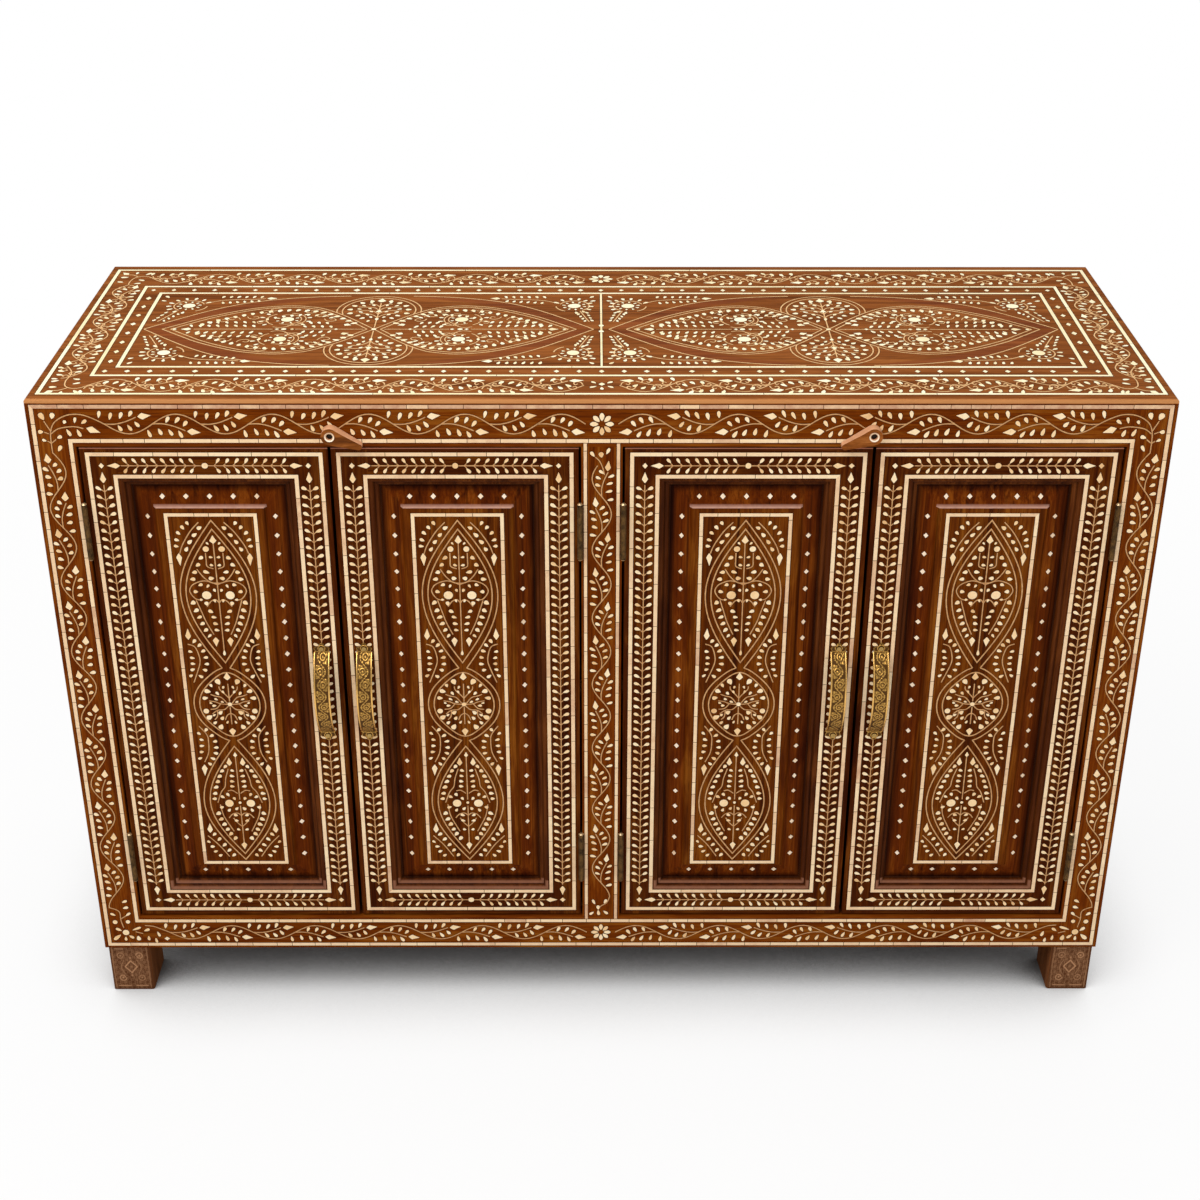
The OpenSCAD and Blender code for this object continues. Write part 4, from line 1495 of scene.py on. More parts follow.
@dataclass
class PanelMotif:
    """Two pointed ovals and a round medallion, one over the other, with sprays round them.

    Heights are measured from the floor; middle is the height of the field's centre. Every leaf has
    its own place, direction and size, as on the old piece, so they are written one by one.
    """

    middle: float = 487.6
    waist: float = 5.0
    top_oval: tuple[float, float, float] = (524.0, 640.0, 745.7)
    top_inner: tuple[float, float, float] = (540.0, 640.0, 733.5)
    low_oval: tuple[float, float, float] = (227.2, 322.0, 428.0)
    low_inner: tuple[float, float, float] = (236.8, 322.0, 411.3)
    half: float = 48.2
    inner_half: float = 41.0
    ring_z: float = 476.2
    ring: Point = (47.0, 56.4)
    inner_ring: Point = (39.5, 49.0)
    line: float = 1.7

    @staticmethod
    def _oval(heights: tuple[float, float, float], half: float, steps: int = 14) -> Path:
        """Gives the right side of a pointed oval from its low tip to its high tip.

        Args:
            heights: The heights of its low tip, its widest place and its high tip.
            half: Its half width.
            steps: How many steps each part has.
        Returns:
            Its points.
        """
        low, mid, high = heights
        below = [(half * math.sin(math.pi / 2 * i / steps), low + (mid - low) * i / steps)
                 for i in range(steps)]
        above = [(half * math.cos(math.pi / 2 * i / steps), mid + (high - mid) * i / steps)
                 for i in range(steps + 1)]
        return below + above

    def _medallion_side(self, half: float, reach: float, steps: int = 26) -> Path:
        """Gives the right side of a ring that is drawn out to a small point at each end.

        Args:
            half: Its radius.
            reach: How far its points reach.
            steps: How many steps it has.
        Returns:
            Its points.
        """
        out = []
        for i in range(steps + 1):
            a = -math.pi / 2 + math.pi * i / steps
            s, c = math.sin(a), max(0.0, math.cos(a))
            out.append((half * c, self.ring_z + half * s + (reach - half) * s * abs(s) ** 7))
        return out

    def draw(self, inlay: Inlay) -> None:
        """Draws the whole motif.

        Args:
            inlay: Where it is let in.
        """
        origin = (0.0, -self.middle)
        self._outlines(Sketch(inlay, origin))
        self._middle_line(Sketch(inlay, origin))
        for side in (-1, 1):
            pen = Sketch.half(inlay, side, origin)
            self._upper(pen)
            self._medallion(pen)
            self._lower(pen)
            self._sprays(pen)

    def _outlines(self, pen: Sketch) -> None:
        """Draws the outer outline in one loop, and the three inner ones.

        Args:
            pen: The sketch that it is drawn on.
        """
        low, top = self.low_oval[1], self.top_oval[1]
        right = [p for p in self._oval(self.low_oval, self.half) if p[0] > self.waist or p[1] < low]
        right += [p for p in self._medallion_side(*self.ring) if p[0] > self.waist]
        right += [p for p in self._oval(self.top_oval, self.half) if p[0] > self.waist or p[1] > top]
        inner = [self._oval(self.low_inner, self.inner_half - 1),
                 self._oval(self.top_inner, self.inner_half), self._medallion_side(*self.inner_ring)]
        for side in [right, *inner]:
            loop = side + [(-x, z) for x, z in reversed(side) if x > 0.01]
            pen.inlay.stem([pen.at(*p) for p in loop], self.line, True)

    @staticmethod
    def _middle_line(pen: Sketch) -> None:
        """Draws what lies on the middle line.

        Args:
            pen: The sketch that it is drawn on.
        """
        pen.stems(((0, 714), (0, 553)), ((0, 397), (0, 326)), ((0, 316), (0, 252)),
                  ((0, 481), (0, 508)), ((0, 472), (0, 446)))
        pen.kites((0, 719, 90, 12, 9), (0, 519.6, 90, 12, 9), (0, 433.7, -90, 12, 9), (0, 250, -90, 12, 8),
                  (0, 398.3, 90, 8, 5.4))
        pen.leaf(0, 554.8, -90, 8, 4)
        pen.dot(0, 476.6, 3.0)
        pen.dot(0, 321, 2.0)

    @staticmethod
    def _upper(pen: Sketch) -> None:
        """Draws half of what fills the upper oval.

        Args:
            pen: The sketch that it is drawn on.
        """
        pen.stems(((0, 654.8), (10, 659), (19, 660), (31, 655), (36, 647), (34, 640), (29, 634),
                   (23.5, 632.6)),
                  ((0, 657), (8, 658), (17, 666), (24, 677)),
                  ((11, 700), (11, 690), (10.5, 681), (3, 677.6)),
                  ((29, 632), (24, 616), (19, 600), (11, 582)), ((0, 628), (4, 633), (10, 631), (16, 623)))
        pen.dot(10, 705.5, 3.9)
        pen.dot(15, 639.5, 5.8)
        pen.leaves((7.4, 713.4, 50, 4.6, 3), (4.8, 694, 15, 5.4, 3.6), (4.8, 682.6, 15, 5.4, 3.8),
                   (12.4, 672.8, 15, 8, 5), (6.8, 663.8, -8, 7, 5.6), (17.6, 693, 150, 7, 5.6),
                   (22.2, 683, 150, 7, 5.6), (27.5, 672.5, 165, 7, 5.6), (30.7, 662.6, 170, 7, 5.4),
                   (21.6, 654.5, 160, 6, 4.6), (28.4, 644.6, 10, 6.4, 5.4), (12.4, 652.6, 120, 5.6, 3.6),
                   (4.3, 646.5, 60, 5, 4.2), (33.6, 628.5, 140, 7, 6.4), (16.3, 627.4, 80, 6, 5.6),
                   (5.4, 631.4, 70, 5, 3.6), (22.4, 633, 0, 4.4, 3.6), (30.6, 617.3, 150, 7.6, 5.6),
                   (27.4, 607.5, 158, 7.6, 5), (24.5, 598, 150, 7.4, 5.4), (21, 588.5, 140, 7.4, 5.4),
                   (17, 580, 130, 6.4, 4), (12, 616, 25, 7, 5), (8.6, 607.5, 15, 7, 4.4),
                   (7.4, 598, 15, 7, 4.8), (6.4, 588.5, 10, 6.4, 4.4))
        pen.kite(9.4, 571, -90, 14, 8)

    @staticmethod
    def _medallion(pen: Sketch) -> None:
        """Draws half of what fills the medallion.

        Args:
            pen: The sketch that it is drawn on.
        """
        pen.dot(32, 466.3, 3.7)
        pen.leaves((12.5, 511, 60, 9, 7.6), (22, 505.4, 60, 6, 4.4), (27.5, 496.7, 20, 8.4, 7),
                   (31.4, 486.3, 0, 8, 6), (28.4, 456.8, -30, 9, 7), (21.6, 448.4, -45, 6, 4.6),
                   (14.5, 442, -60, 8.6, 7), (13.2, 464, -40, 7, 6), (11.6, 455.4, -55, 6.4, 5),
                   (20.6, 474.6, 0, 5.4, 4), (7.2, 495.4, 60, 5.4, 3.4), (14.8, 493.4, 55, 6, 4),
                   (17.4, 484.4, 25, 5.4, 3.4), (6.4, 502.6, 110, 5, 3.4), (24.6, 478.6, 20, 4.4, 3),
                   (5.4, 449.2, -60, 5, 3.2), (21.8, 460.2, -30, 5, 3.6), (9.4, 480.4, 20, 5, 3))
        pen.stems(((0, 486), (4, 491), (11, 499), (12, 504)), ((3, 478), (10, 487), (18, 489.4), (24, 492)),
                  ((3, 476.6), (12, 477.6), (19, 480.6), (27, 482)), ((12, 477.6), (18, 470.4), (26, 469)),
                  ((2, 474), (8, 468.6), (17, 467.4), (24, 462)), ((0, 463), (5, 459.6), (8, 452.6)),
                  ((17, 467.4), (18, 458), (22, 453)))

    @staticmethod
    def _lower(pen: Sketch) -> None:
        """Draws half of what fills the lower oval.

        Args:
            pen: The sketch that it is drawn on.
        """
        pen.stems(((11.3, 375.5), (16, 360), (18, 347), (24, 338), (30, 321)),
                  ((2, 336), (9, 341), (15, 340)),
                  ((27, 318), (24, 300), (17, 284), (12, 274)), ((0, 300), (5, 304), (12, 302), (17, 296)),
                  ((0, 282), (6, 288), (11, 296)))
        pen.dot(14.5, 320, 5.8)
        pen.leaves((15, 379, 130, 6.4, 5), (20, 372, 140, 6.8, 5.2), (24, 363.5, 150, 7, 5.4),
                   (27.3, 355, 155, 7, 5.4), (30.3, 346, 160, 7, 5.4), (32.5, 336, 170, 7, 5.6),
                   (34, 327.4, 175, 6.4, 5), (6, 372.7, 20, 6, 4.4), (7, 364, 15, 6.4, 4.2),
                   (7.6, 355.5, 10, 6.6, 4.6), (8, 347.4, 10, 6.4, 4.4), (15.2, 334, 60, 6, 4.8),
                   (7, 327.6, 60, 5.6, 4.6), (22.6, 330.4, 30, 6, 4.4), (25, 313.5, -20, 6, 4.8),
                   (15.4, 309, -60, 6, 4.4), (5, 311.4, -50, 5.6, 4.6), (30.9, 303.4, 150, 7.4, 6),
                   (28.2, 294, 155, 7.4, 5.6), (24.5, 285.5, 150, 7.4, 6), (20.8, 277.2, 145, 6.8, 5.4),
                   (17, 269.6, 135, 7, 5.6), (11.4, 262.4, 125, 7.4, 6), (7.4, 300.6, 20, 6, 4.4),
                   (7, 291.6, 15, 6, 4.2), (5.6, 277, 20, 5, 3.8))
        pen.kite(9, 387, 90, 13, 7.4)

    @staticmethod
    def _sprays(pen: Sketch) -> None:
        """Draws half of the four pairs of sprays outside the ovals.

        Args:
            pen: The sketch that it is drawn on.
        """
        pen.stems(((15.9, 743), (26, 732), (34, 720), (40, 709), (43.5, 699)),
                  ((46.3, 567.8), (37.6, 563.5), (33.3, 550), (33.3, 539.6), (37.6, 526.5), (44, 510)),
                  ((43.9, 443), (35, 430), (33.5, 419), (35, 401.6), (41.7, 386.3)),
                  ((48.7, 266.8), (35, 251.6), (22, 232)))
        pen.leaves((30, 741.7, 60, 6.4, 4.6), (36.5, 735.7, 50, 6.6, 4.8), (42.4, 728, 40, 6.8, 4.6),
                   (45.2, 718.3, 25, 6.8, 4.6), (46.7, 709.6, 10, 6.4, 4.6), (15.4, 735.2, -30, 7, 5.2),
                   (22.4, 725.4, -40, 7.4, 5.2), (29, 715.7, -45, 7.4, 5.2), (34.3, 705.4, -55, 7, 5),
                   (37.6, 572, 130, 7, 5), (31.6, 566, 140, 7, 4.8), (27.6, 557.4, 155, 6.8, 4.8),
                   (25, 547.8, 165, 6.8, 4.6), (24.6, 538, 180, 6.8, 4.6), (27.8, 529, 200, 6.8, 4.8),
                   (34, 519.4, 215, 6.8, 4.6), (44, 556.6, 20, 6, 4.4), (42.4, 547.2, 10, 6.4, 4.4),
                   (42.4, 538.4, 0, 6.4, 4.4), (43.6, 529.6, -15, 6.4, 4.4), (46.6, 520.4, -30, 6, 4.2),
                   (35.2, 437, 130, 6.6, 4.6), (28.6, 428, 150, 6.8, 4.8), (25, 419, 165, 6.8, 4.6),
                   (24.3, 409.4, 180, 6.8, 4.6), (25.6, 400.4, 195, 6.8, 4.6), (30.2, 392, 210, 6.8, 4.6),
                   (35, 383.6, 225, 6.4, 4.4), (45, 431.4, 40, 6, 4.4), (42.4, 421.6, 20, 6.4, 4.4),
                   (42.8, 412, 0, 6.4, 4.4), (44, 402.4, -10, 6.4, 4.4), (47, 392.4, -25, 6, 4.2),
                   (48.2, 256.6, 40, 5.6, 4), (43.6, 248.6, 0, 6.4, 4.6), (40, 240.6, -20, 6.4, 4.4),
                   (34, 234, -35, 6.4, 4.4), (39.6, 269, 140, 6.8, 5), (33.6, 260.8, 140, 7, 5),
                   (27.4, 251.4, 140, 7, 5), (21.6, 242.4, 135, 6.8, 5), (15.8, 234.4, 130, 6.4, 4.8))
        pen.kites((44.6, 690.7, -92, 18, 7.4), (44.6, 582.6, 92, 17, 7.4), (42.8, 373.6, -88, 18, 7.6),
                  (44.6, 279.4, 92, 16, 7.6))


# Pattern of the top


@dataclass
class TopDress:
    """The inlay of the top."""

    outer: Point = (688.0, 233.5)
    second: Point = (635.2, 167.65)
    third: Point = (609.4, 139.35)
    second_shift: float = -5.35
    third_shift: float = -4.65
    strip: float = 4.6
    piece: float = 190.0
    cross_x: float = 300.5
    mid_y: float = -8.0
    line: float = 1.9
    band_rise: float = 0.02
    inner_stretch: float = 0.957
    vine_y: Point = (195.5, -206.0)
    vine_end: float = 632.0
    side_vine: Point = (662.0, -180.0)
    row_y: Point = (147.4, -159.0)
    row_count: int = 45
    row_big: Point = (10, 34)
    row_size: float = 7.4
    corner_x: Point = (260.5, -264.0)
    corner_y: Point = (83.0, -94.5)
    corner_room: float = 0.66
    lens: tuple[Point, ...] = ((303.5, 0), (269.5, 34), (226.5, 73), (184.5, 101), (141.5, 117),
                               (99.5, 126), (56.5, 130), (44, 130.4))
    oval: tuple[Point, ...] = ((279.5, 0), (253, 24), (226.5, 47), (190.5, 70), (160, 84), (124.5, 91.0),
                               (99, 88), (73.5, 78), (39.5, 47), (0, 0))

    def build(self, palette: Palette, rng: random.Random) -> None:
        """Draws and makes the top's inlay.

        Args:
            palette: Where the finishes come from.
            rng: Where its random draws come from.
        """
        inlay = Inlay("top_inlay", "carcass", plane_at((0, MID_Y, TOP_Z), (1, 0, 0), (0, 1, 0)), rng)
        inlay.bone_rise, inlay.line_rise, inlay.stem_rise, inlay.bed_rise = 0.12, 0.11, 0.08, 0.035
        inlay.stem_width = 1.8
        for (half_x, half_y), shift in ((self.outer, 0.0), (self.second, self.second_shift),
                                        (self.third, self.third_shift)):
            inlay.border(half_x, shift - half_y, shift + half_y, self.strip, self.piece)
        low, high = self.third_shift - self.third[1] + 3, self.third_shift + self.third[1] - 3
        inlay.rule((0, low), (0, high), 2.6, 60)
        inlay.dot(0, self.mid_y + 14, 3.6)
        inlay.dot(0, self.mid_y - 8, 3.6)
        self._bands(inlay)
        for side in (-1, 1):
            for way in (-1, 1):
                stretch = 1.0 if way > 0 else self.inner_stretch
                for up in (-1, 1):
                    pen = Sketch.half(inlay, side * way, (side * self.cross_x, self.mid_y), up, stretch)
                    self._lobe(pen)
                    self._corner(inlay, side, way, up)
                self._axis(Sketch.half(inlay, side * way, (side * self.cross_x, self.mid_y), 1, stretch))
            for up in (-1, 1):
                self._circle(inlay, side, up)
            inlay.dot(side * self.cross_x, self.mid_y, 3.2)
        inlay.build(palette, Finish.TOP_BONE, Finish.TOP_BONE, Finish.TOP_STEM)

    def _bands(self, inlay: Inlay) -> None:
        """Draws the outer band's vines and the inner band's diamonds.

        Args:
            inlay: Where it is let in.
        """
        vine = Vine(swing=20.0, reach=1.62, length=11.0, width=5.6, kite_y=-9.6, hooks=True)
        for y, up in zip(self.vine_y, (1, -1)):
            if up > 0:
                inlay.rosette(0, y, 17.5)
            else:
                inlay.diamond(0, y + 4, 8.0, 1.3)
                for a in (40, 140, 215, 270, 325):
                    across, along = polar(1.0, a)
                    inlay.leaf(13 * across, y + 2 + 12 * along, a, 9.0, 4.8)
            for side in (-1, 1):
                vine.run(Sketch(inlay, (side * self.vine_end, y), 90 + side * 90, side * up), 10, 61.0)
                pen = Sketch.half(inlay, side, (0, y), up)
                pen.stems(((632, 0), (641, 9), (651, 10), (660, 2), (663, -14), (662, -26)),
                          ((655, 8), (664, 16), (672, 18)))
                pen.leaves((643, 21, 120, 11, 5.6), (674, 6, 0, 11, 6), (648, -6, 200, 10, 5),
                           (676, -14, 20, 10, 5), (651, -20, 170, 10, 5), (660, 24, 90, 9, 5))
                pen.kite(676, 22, 45, 13, 9)
        side_vine = Vine(swing=15.5, reach=1.3, length=9.6, width=5.2, kite_y=-9.4, hooks=True)
        for side in (-1, 1):
            x, y = self.side_vine
            side_vine.run(Sketch(inlay, (side * x, y), 90, side), 6, 58.2)
        x_in = (self.second[0] + self.third[0]) / 2
        back, front = self.row_y
        for y, tall in ((back, 1.2), (front, 1.25)):
            for i in range(self.row_count):
                size = self.row_size * (1.25 if i in self.row_big else 1.0)
                inlay.diamond(-x_in + 2 * x_in * i / (self.row_count - 1), y, size, tall)
        for i in range(1, 9):
            for side in (-1, 1):
                inlay.diamond(side * x_in, front + (back - front) * i / 9, self.row_size, 1.6)

    def _lobe(self, pen: Sketch) -> None:
        """Draws one edge of a lobe: its lens line, its plain band, its oval and the leaves along it.

        Args:
            pen: The sketch that it is drawn on.
        """
        inlay = pen.inlay
        lens = smooth(self.lens, 4)
        oval = smooth(self.oval, 4)
        inlay.stem([pen.at(*p) for p in lens], self.line)
        inlay.stem([pen.at(*p) for p in oval], self.line)
        within = [(9 + x * 259.5 / 279.5, y * 0.935) for x, y in oval]
        inlay.stem([pen.at(*p) for p in within], self.line)
        outer, within = smooth(self.lens[:7], 4), smooth(self.oval[:7], 4)
        count = min(len(outer), len(within))
        rim = [pen.at(*p) for p in outer[:count]]
        for i in range(count - 1, 0, -1):
            share = 1.0 - 0.97 * (i / count) ** 3
            rim.append(pen.at(*(a + (b - a) * share for a, b in zip(outer[i], within[i]))))
        inlay.bands.plate(np.array(rim if self._area(rim) > 0 else rim[::-1]),
                          inlay.lie(self.band_rise, play=0.3))
        for x, y, angle in walk([(9 + x * 0.86, y * 0.80) for x, y in oval], 12.2, 26, 30):
            pen.leaf(x, y, angle - 70, 9.4, 6.4)
        for x, y, angle in walk([(20 + x * 0.62, y * 0.60) for x, y in oval[10:-6]], 11.6, 4, 8):
            pen.leaf(x, y, angle - 76, 8.2, 4.6)
        for x, y in ((243, 15), (231, 14), (219.5, 15), (208, 15), (196, 15), (184, 15), (172, 15),
                     (160, 14), (92, 12), (80.5, 12), (69, 12), (57.5, 11)):
            pen.leaf(x, y * 0.82, 66, 9.6, 4.6)
        for x, y in ((222, 25), (210, 25), (198, 25), (186, 25.5), (174, 26), (162, 26),
                     (86, 24), (75, 24), (64, 23)):
            pen.leaf(x, y, 66, 9, 4.6)
        pen.kite(36.5, 16.5, 200, 11, 9)
        hook = ((-8, -4), (-5, 3), (2, 6), (8, 2), (5, -4), (0, -2))
        for x, y, turn in ((150, 66, 1), (92, 68, -1), (74, 52, 1), (166, 44, -1), (190, 40, 1),
                           (206, 34, -1), (62, 36, -1), (138, 74, 1), (104, 20, -1), (150, 26, 1)):
            pen.stem([(x + a * turn, y + b * turn) for a, b in hook], 1.6, 3)
        self._scroll(pen)

    @staticmethod
    def _area(rim: Sequence[Point]) -> float:
        """Gives a rim's area, positive when it runs counter-clockwise."""
        return 0.5 * sum(a[0] * b[1] - b[0] * a[1] for a, b in zip(rim, list(rim[1:]) + [rim[0]]))

    def _scroll(self, pen: Sketch) -> None:
        """Draws a large dot with its scrolls and leaves, in the widest place of a lobe.

        Args:
            pen: The sketch that it is drawn on.
        """
        x0, y0 = 119.0, 37.0
        pen.dot(x0, y0, 8.6)
        for radius, first, last in ((18.5, 60, 300), (24.5, 96, 264)):
            pen.stem(arc((x0, y0), radius, first, last, 10), 1.7, 2)
        pen.stem(arc((x0 + 4, y0), 24.0, -58, 58, 8), 1.7, 2)
        pen.stem(((x0 - 8, 19), (x0 - 4, 11), (x0 + 6, 6), (x0 + 16, 9)), 1.7)
        for a in range(20, 360, 45):
            pen.leaf(*polar(13.6, a, x0, y0), a, 5.2, 3.2)
        for a in (-40, -14, 14, 40):
            pen.leaf(*polar(31, a, x0 + 4, y0), a, 7.4, 4.2)
            pen.leaf(*polar(29.5, 180 - a, x0, y0), 180 - a, 7.4, 4.2)

    @staticmethod
    def _axis(pen: Sketch) -> None:
        """Draws what lies on a lobe's axis.

        Args:
            pen: The sketch that it is drawn on.
        """
        pen.stem([(14, 0), (104, 0)], 1.8, 2)
        pen.stem([(134, 0), (238, 0)], 1.8, 2)
        pen.kite(248, 0, 0, 14, 10)
        pen.dot(263, 0, 2.4)
        pen.dot(119, 0, 3.4)
        for x in (50, 108, 128):
            pen.inlay.diamond(*pen.at(x, 0), 6, 1.0)

    def _circle(self, inlay: Inlay, side: int, up: int) -> None:
        """Draws a round flower between the lobes.

        Args:
            inlay: Where it is let in.
            side: 1 on the right, -1 on the left.
            up: 1 at the back, -1 at the front.
        """
        origin = (side * self.cross_x, self.mid_y)
        for half in (-1, 1):
            pen = Sketch.half(inlay, half, origin, up)
            pen.stem(arc((0, 72), 57, -8, 90, 12), self.line, 2)
            pen.stem(arc((0, 72), 49.5, -17, 90, 12), self.line, 2)
            for a in (-16, 6, 28, 50, 71):
                pen.leaf(*polar(40, a, 0, 72), a + 180, 8.6, 7.2)
            pen.leaves((27, 52, 150, 8, 6), (20, 42, 140, 8, 5.4), (11, 31, 110, 8, 5),
                       (8.6, 46, 60, 7, 4.4), (14, 56, 50, 7.4, 4.6), (10, 68, 50, 7, 4.4),
                       (24, 66, 30, 7.4, 4.6), (27, 78, 20, 7.4, 4.6), (13, 80, 50, 7, 4.4),
                       (22, 91, 45, 7.6, 4.6), (9, 93, 60, 7.4, 4.6), (13, 103, 60, 6.4, 4.2))
            pen.stems(((0, 44), (6, 54), (16, 60), (24, 60)), ((0, 58), (6, 68), (17, 72), (31, 70)),
                      ((0, 72), (6, 82), (16, 85), (29, 86)), ((0, 86), (5, 94), (11, 98), (16, 97)))
        pen = Sketch.half(inlay, 1, origin, up)
        pen.stem([(0, 6), (0, 102)], 1.8, 2)
        pen.kite(0, 113, 90, 15, 12)
        pen.kite(0, 70, 90, 11, 8)
        pen.leaf(0, 38, 90, 9, 5)

    def _corner(self, inlay: Inlay, side: int, way: int, up: int) -> None:
        """Draws a flower in a corner of the field, with the sprays that run from it.

        Args:
            inlay: Where it is let in.
            side: 1 for the right half of the top.
            way: 1 for the half's outer end.
            up: 1 for the back of the top.
        """
        middle_x = self.cross_x + self.corner_x[way < 0]
        middle_y = self.corner_y[up < 0]
        room = 1.0 if way > 0 else self.corner_room
        pen = Sketch.half(inlay, -side * way, (side * middle_x, middle_y), up)
        pen.dot(0, 0, 8.4)
        pen.stem(arc((0, 0), 20.5, 20, 238, 10), 2.0, 2)
        pen.stem(arc((2, 0), 23.0, -64, -6, 6), 2.0, 2)
        for a in range(10, 360, 36):
            pen.leaf(*polar(14.0, a), a, 5.6, 3.4)
        for a in (28, 54, 80, 106, 132, 158, 184, 210, 236, 262):
            x, y = polar(27.5, a)
            pen.leaf(x * (room ** 0.5 if x < 0 else 1.0), y, a, 8.6, 4.8)
        pen.stem([(21, 9), (40, 21), (62, 25), (84, 26), (100, 29)])
        for i in range(6):
            pen.leaf(41 + i * 10.6, 35.4, 74, 8.8, 4.6)
            pen.leaf(44 + i * 9.6, 12.0 + i * 1.5, -70, 8.4, 4.4)
        pen.kite(109, 30, 4, 14, 9.5)
        pen.stem([(-12 * room, -20), (-19 * room, -36), (-26 * room, -52), (-31 * room, -62)])
        for i in range(4):
            pen.leaf((-26 - i * 3.4) * room, -27 - i * 10.0, 236, 7.4, 4.0)
            pen.leaf((-9 - i * 4.6) * room, -33 - i * 8.6, -74, 7.0, 4.0)
        pen.leaves((-36 * room, 36, 130, 9, 5), (-38 * room, 20, 160, 8, 4.6))


# Case, doors and hardware


class WoodWork:
    """Gives every wooden and metal node of the model its finish."""

    @staticmethod
    def _each(part: str) -> list[str]:
        """Names one part of every door."""
        return [f"{door}_{part}" for door in DOORS]

    def finishes(self) -> tuple[tuple[Finish, Grain | None, list[str]], ...]:
        """Lists which nodes have each finish, with its grain where it has more than one.

        Returns:
            Each finish, its grain and its nodes.
        """
        x, y, z = Grain.ALONG_X, Grain.ALONG_Y, Grain.ALONG_Z
        return (
            (Finish.TOP, None, ["top_board"]),
            (Finish.CASE, x, ["frame_top_rail", "frame_bottom_rail"]),
            (Finish.CASE, z, ["left_side", "right_side", "frame_left_stile", "frame_centre_stile",
                              "frame_right_stile"]),
            (Finish.INSIDE, x, ["bottom_board", "back_panel", "left_shelf", "right_shelf", "door_stops"]),
            (Finish.INSIDE, y, ["shelf_cleats"]),
            (Finish.INSIDE, z, ["centre_partition"]),
            (Finish.FOOT, None, [f"{place}_foot" for place in ("front_left", "front_right", "back_left",
                                                               "back_right")]),
            (Finish.DOOR, x, self._each("rails")),
            (Finish.DOOR, z, self._each("stiles")),
            (Finish.PANEL, None, self._each("panel")),
            (Finish.MOULDING, z, self._each("moulding")),
            (Finish.HINGE, None, ["frame_hinge_leaves", *self._each("hinge_leaves"),
                                  *self._each("handle")]),
            # The pins take the pale washer brass so that their tops show as a painted highlight on the dark
            # hinges.
            (Finish.WASHER, None, ["hinge_pins", "turn_button_washers"]),
            (Finish.SCREW, None, ["frame_hinge_screws", *self._each("hinge_screws")]),
            (Finish.HANDLE_SCREW, None, self._each("handle_screws")),
            (Finish.BUTTON, None, ["left_turn_button", "right_turn_button"]),
            (Finish.BUTTON_SCREW, None, ["turn_button_screws"]))

    def build(self, palette: Palette) -> None:
        """Dresses the model's own nodes.

        Args:
            palette: Where the finishes come from.
        """
        for finish, grain, nodes in self.finishes():
            for node in nodes:
                materials = bpy.data.objects[node].data.materials
                materials.clear()
                materials.append(palette.get(finish, grain))
        # Every turn-button face but the front gets tone 1, which the button finish paints as a highlight.
        for name in ("left_turn_button", "right_turn_button"):
            mesh = bpy.data.objects[name].data
            set_tone(mesh, [0.0 if face.normal.y < -0.9 else 1.0 for face in mesh.polygons], "FACE")
        LOG.info("woodwork: finishes set")


def ridge(distance: float, width: float) -> float:
    """Gives the height of a rounded ridge at a distance from its crest."""
    return math.exp(-(distance / width) ** 2)


def curl(u: float, v: float, side: int, lobed: float = 0.85) -> float:
    """Gives the height of a small scroll with a bud in its eye and lobes round it.

    Args:
        u: The place across, from the scroll's middle, in units of its size.
        v: The place along.
        side: Which way it curls.
        lobed: The height of its lobes.
    Returns:
        The height, from 0 to 1.
    """
    d = math.hypot(u, v)
    a = math.atan2(v, side * u)
    coil = ridge(d - 0.52 - 0.13 * (a / math.pi + 1), 0.15)
    lobes = (0.5 + 0.5 * math.cos(7 * a)) * ridge(d - 1.12, 0.22) * lobed
    return max(ridge(d, 0.27), 0.9 * coil, lobes)


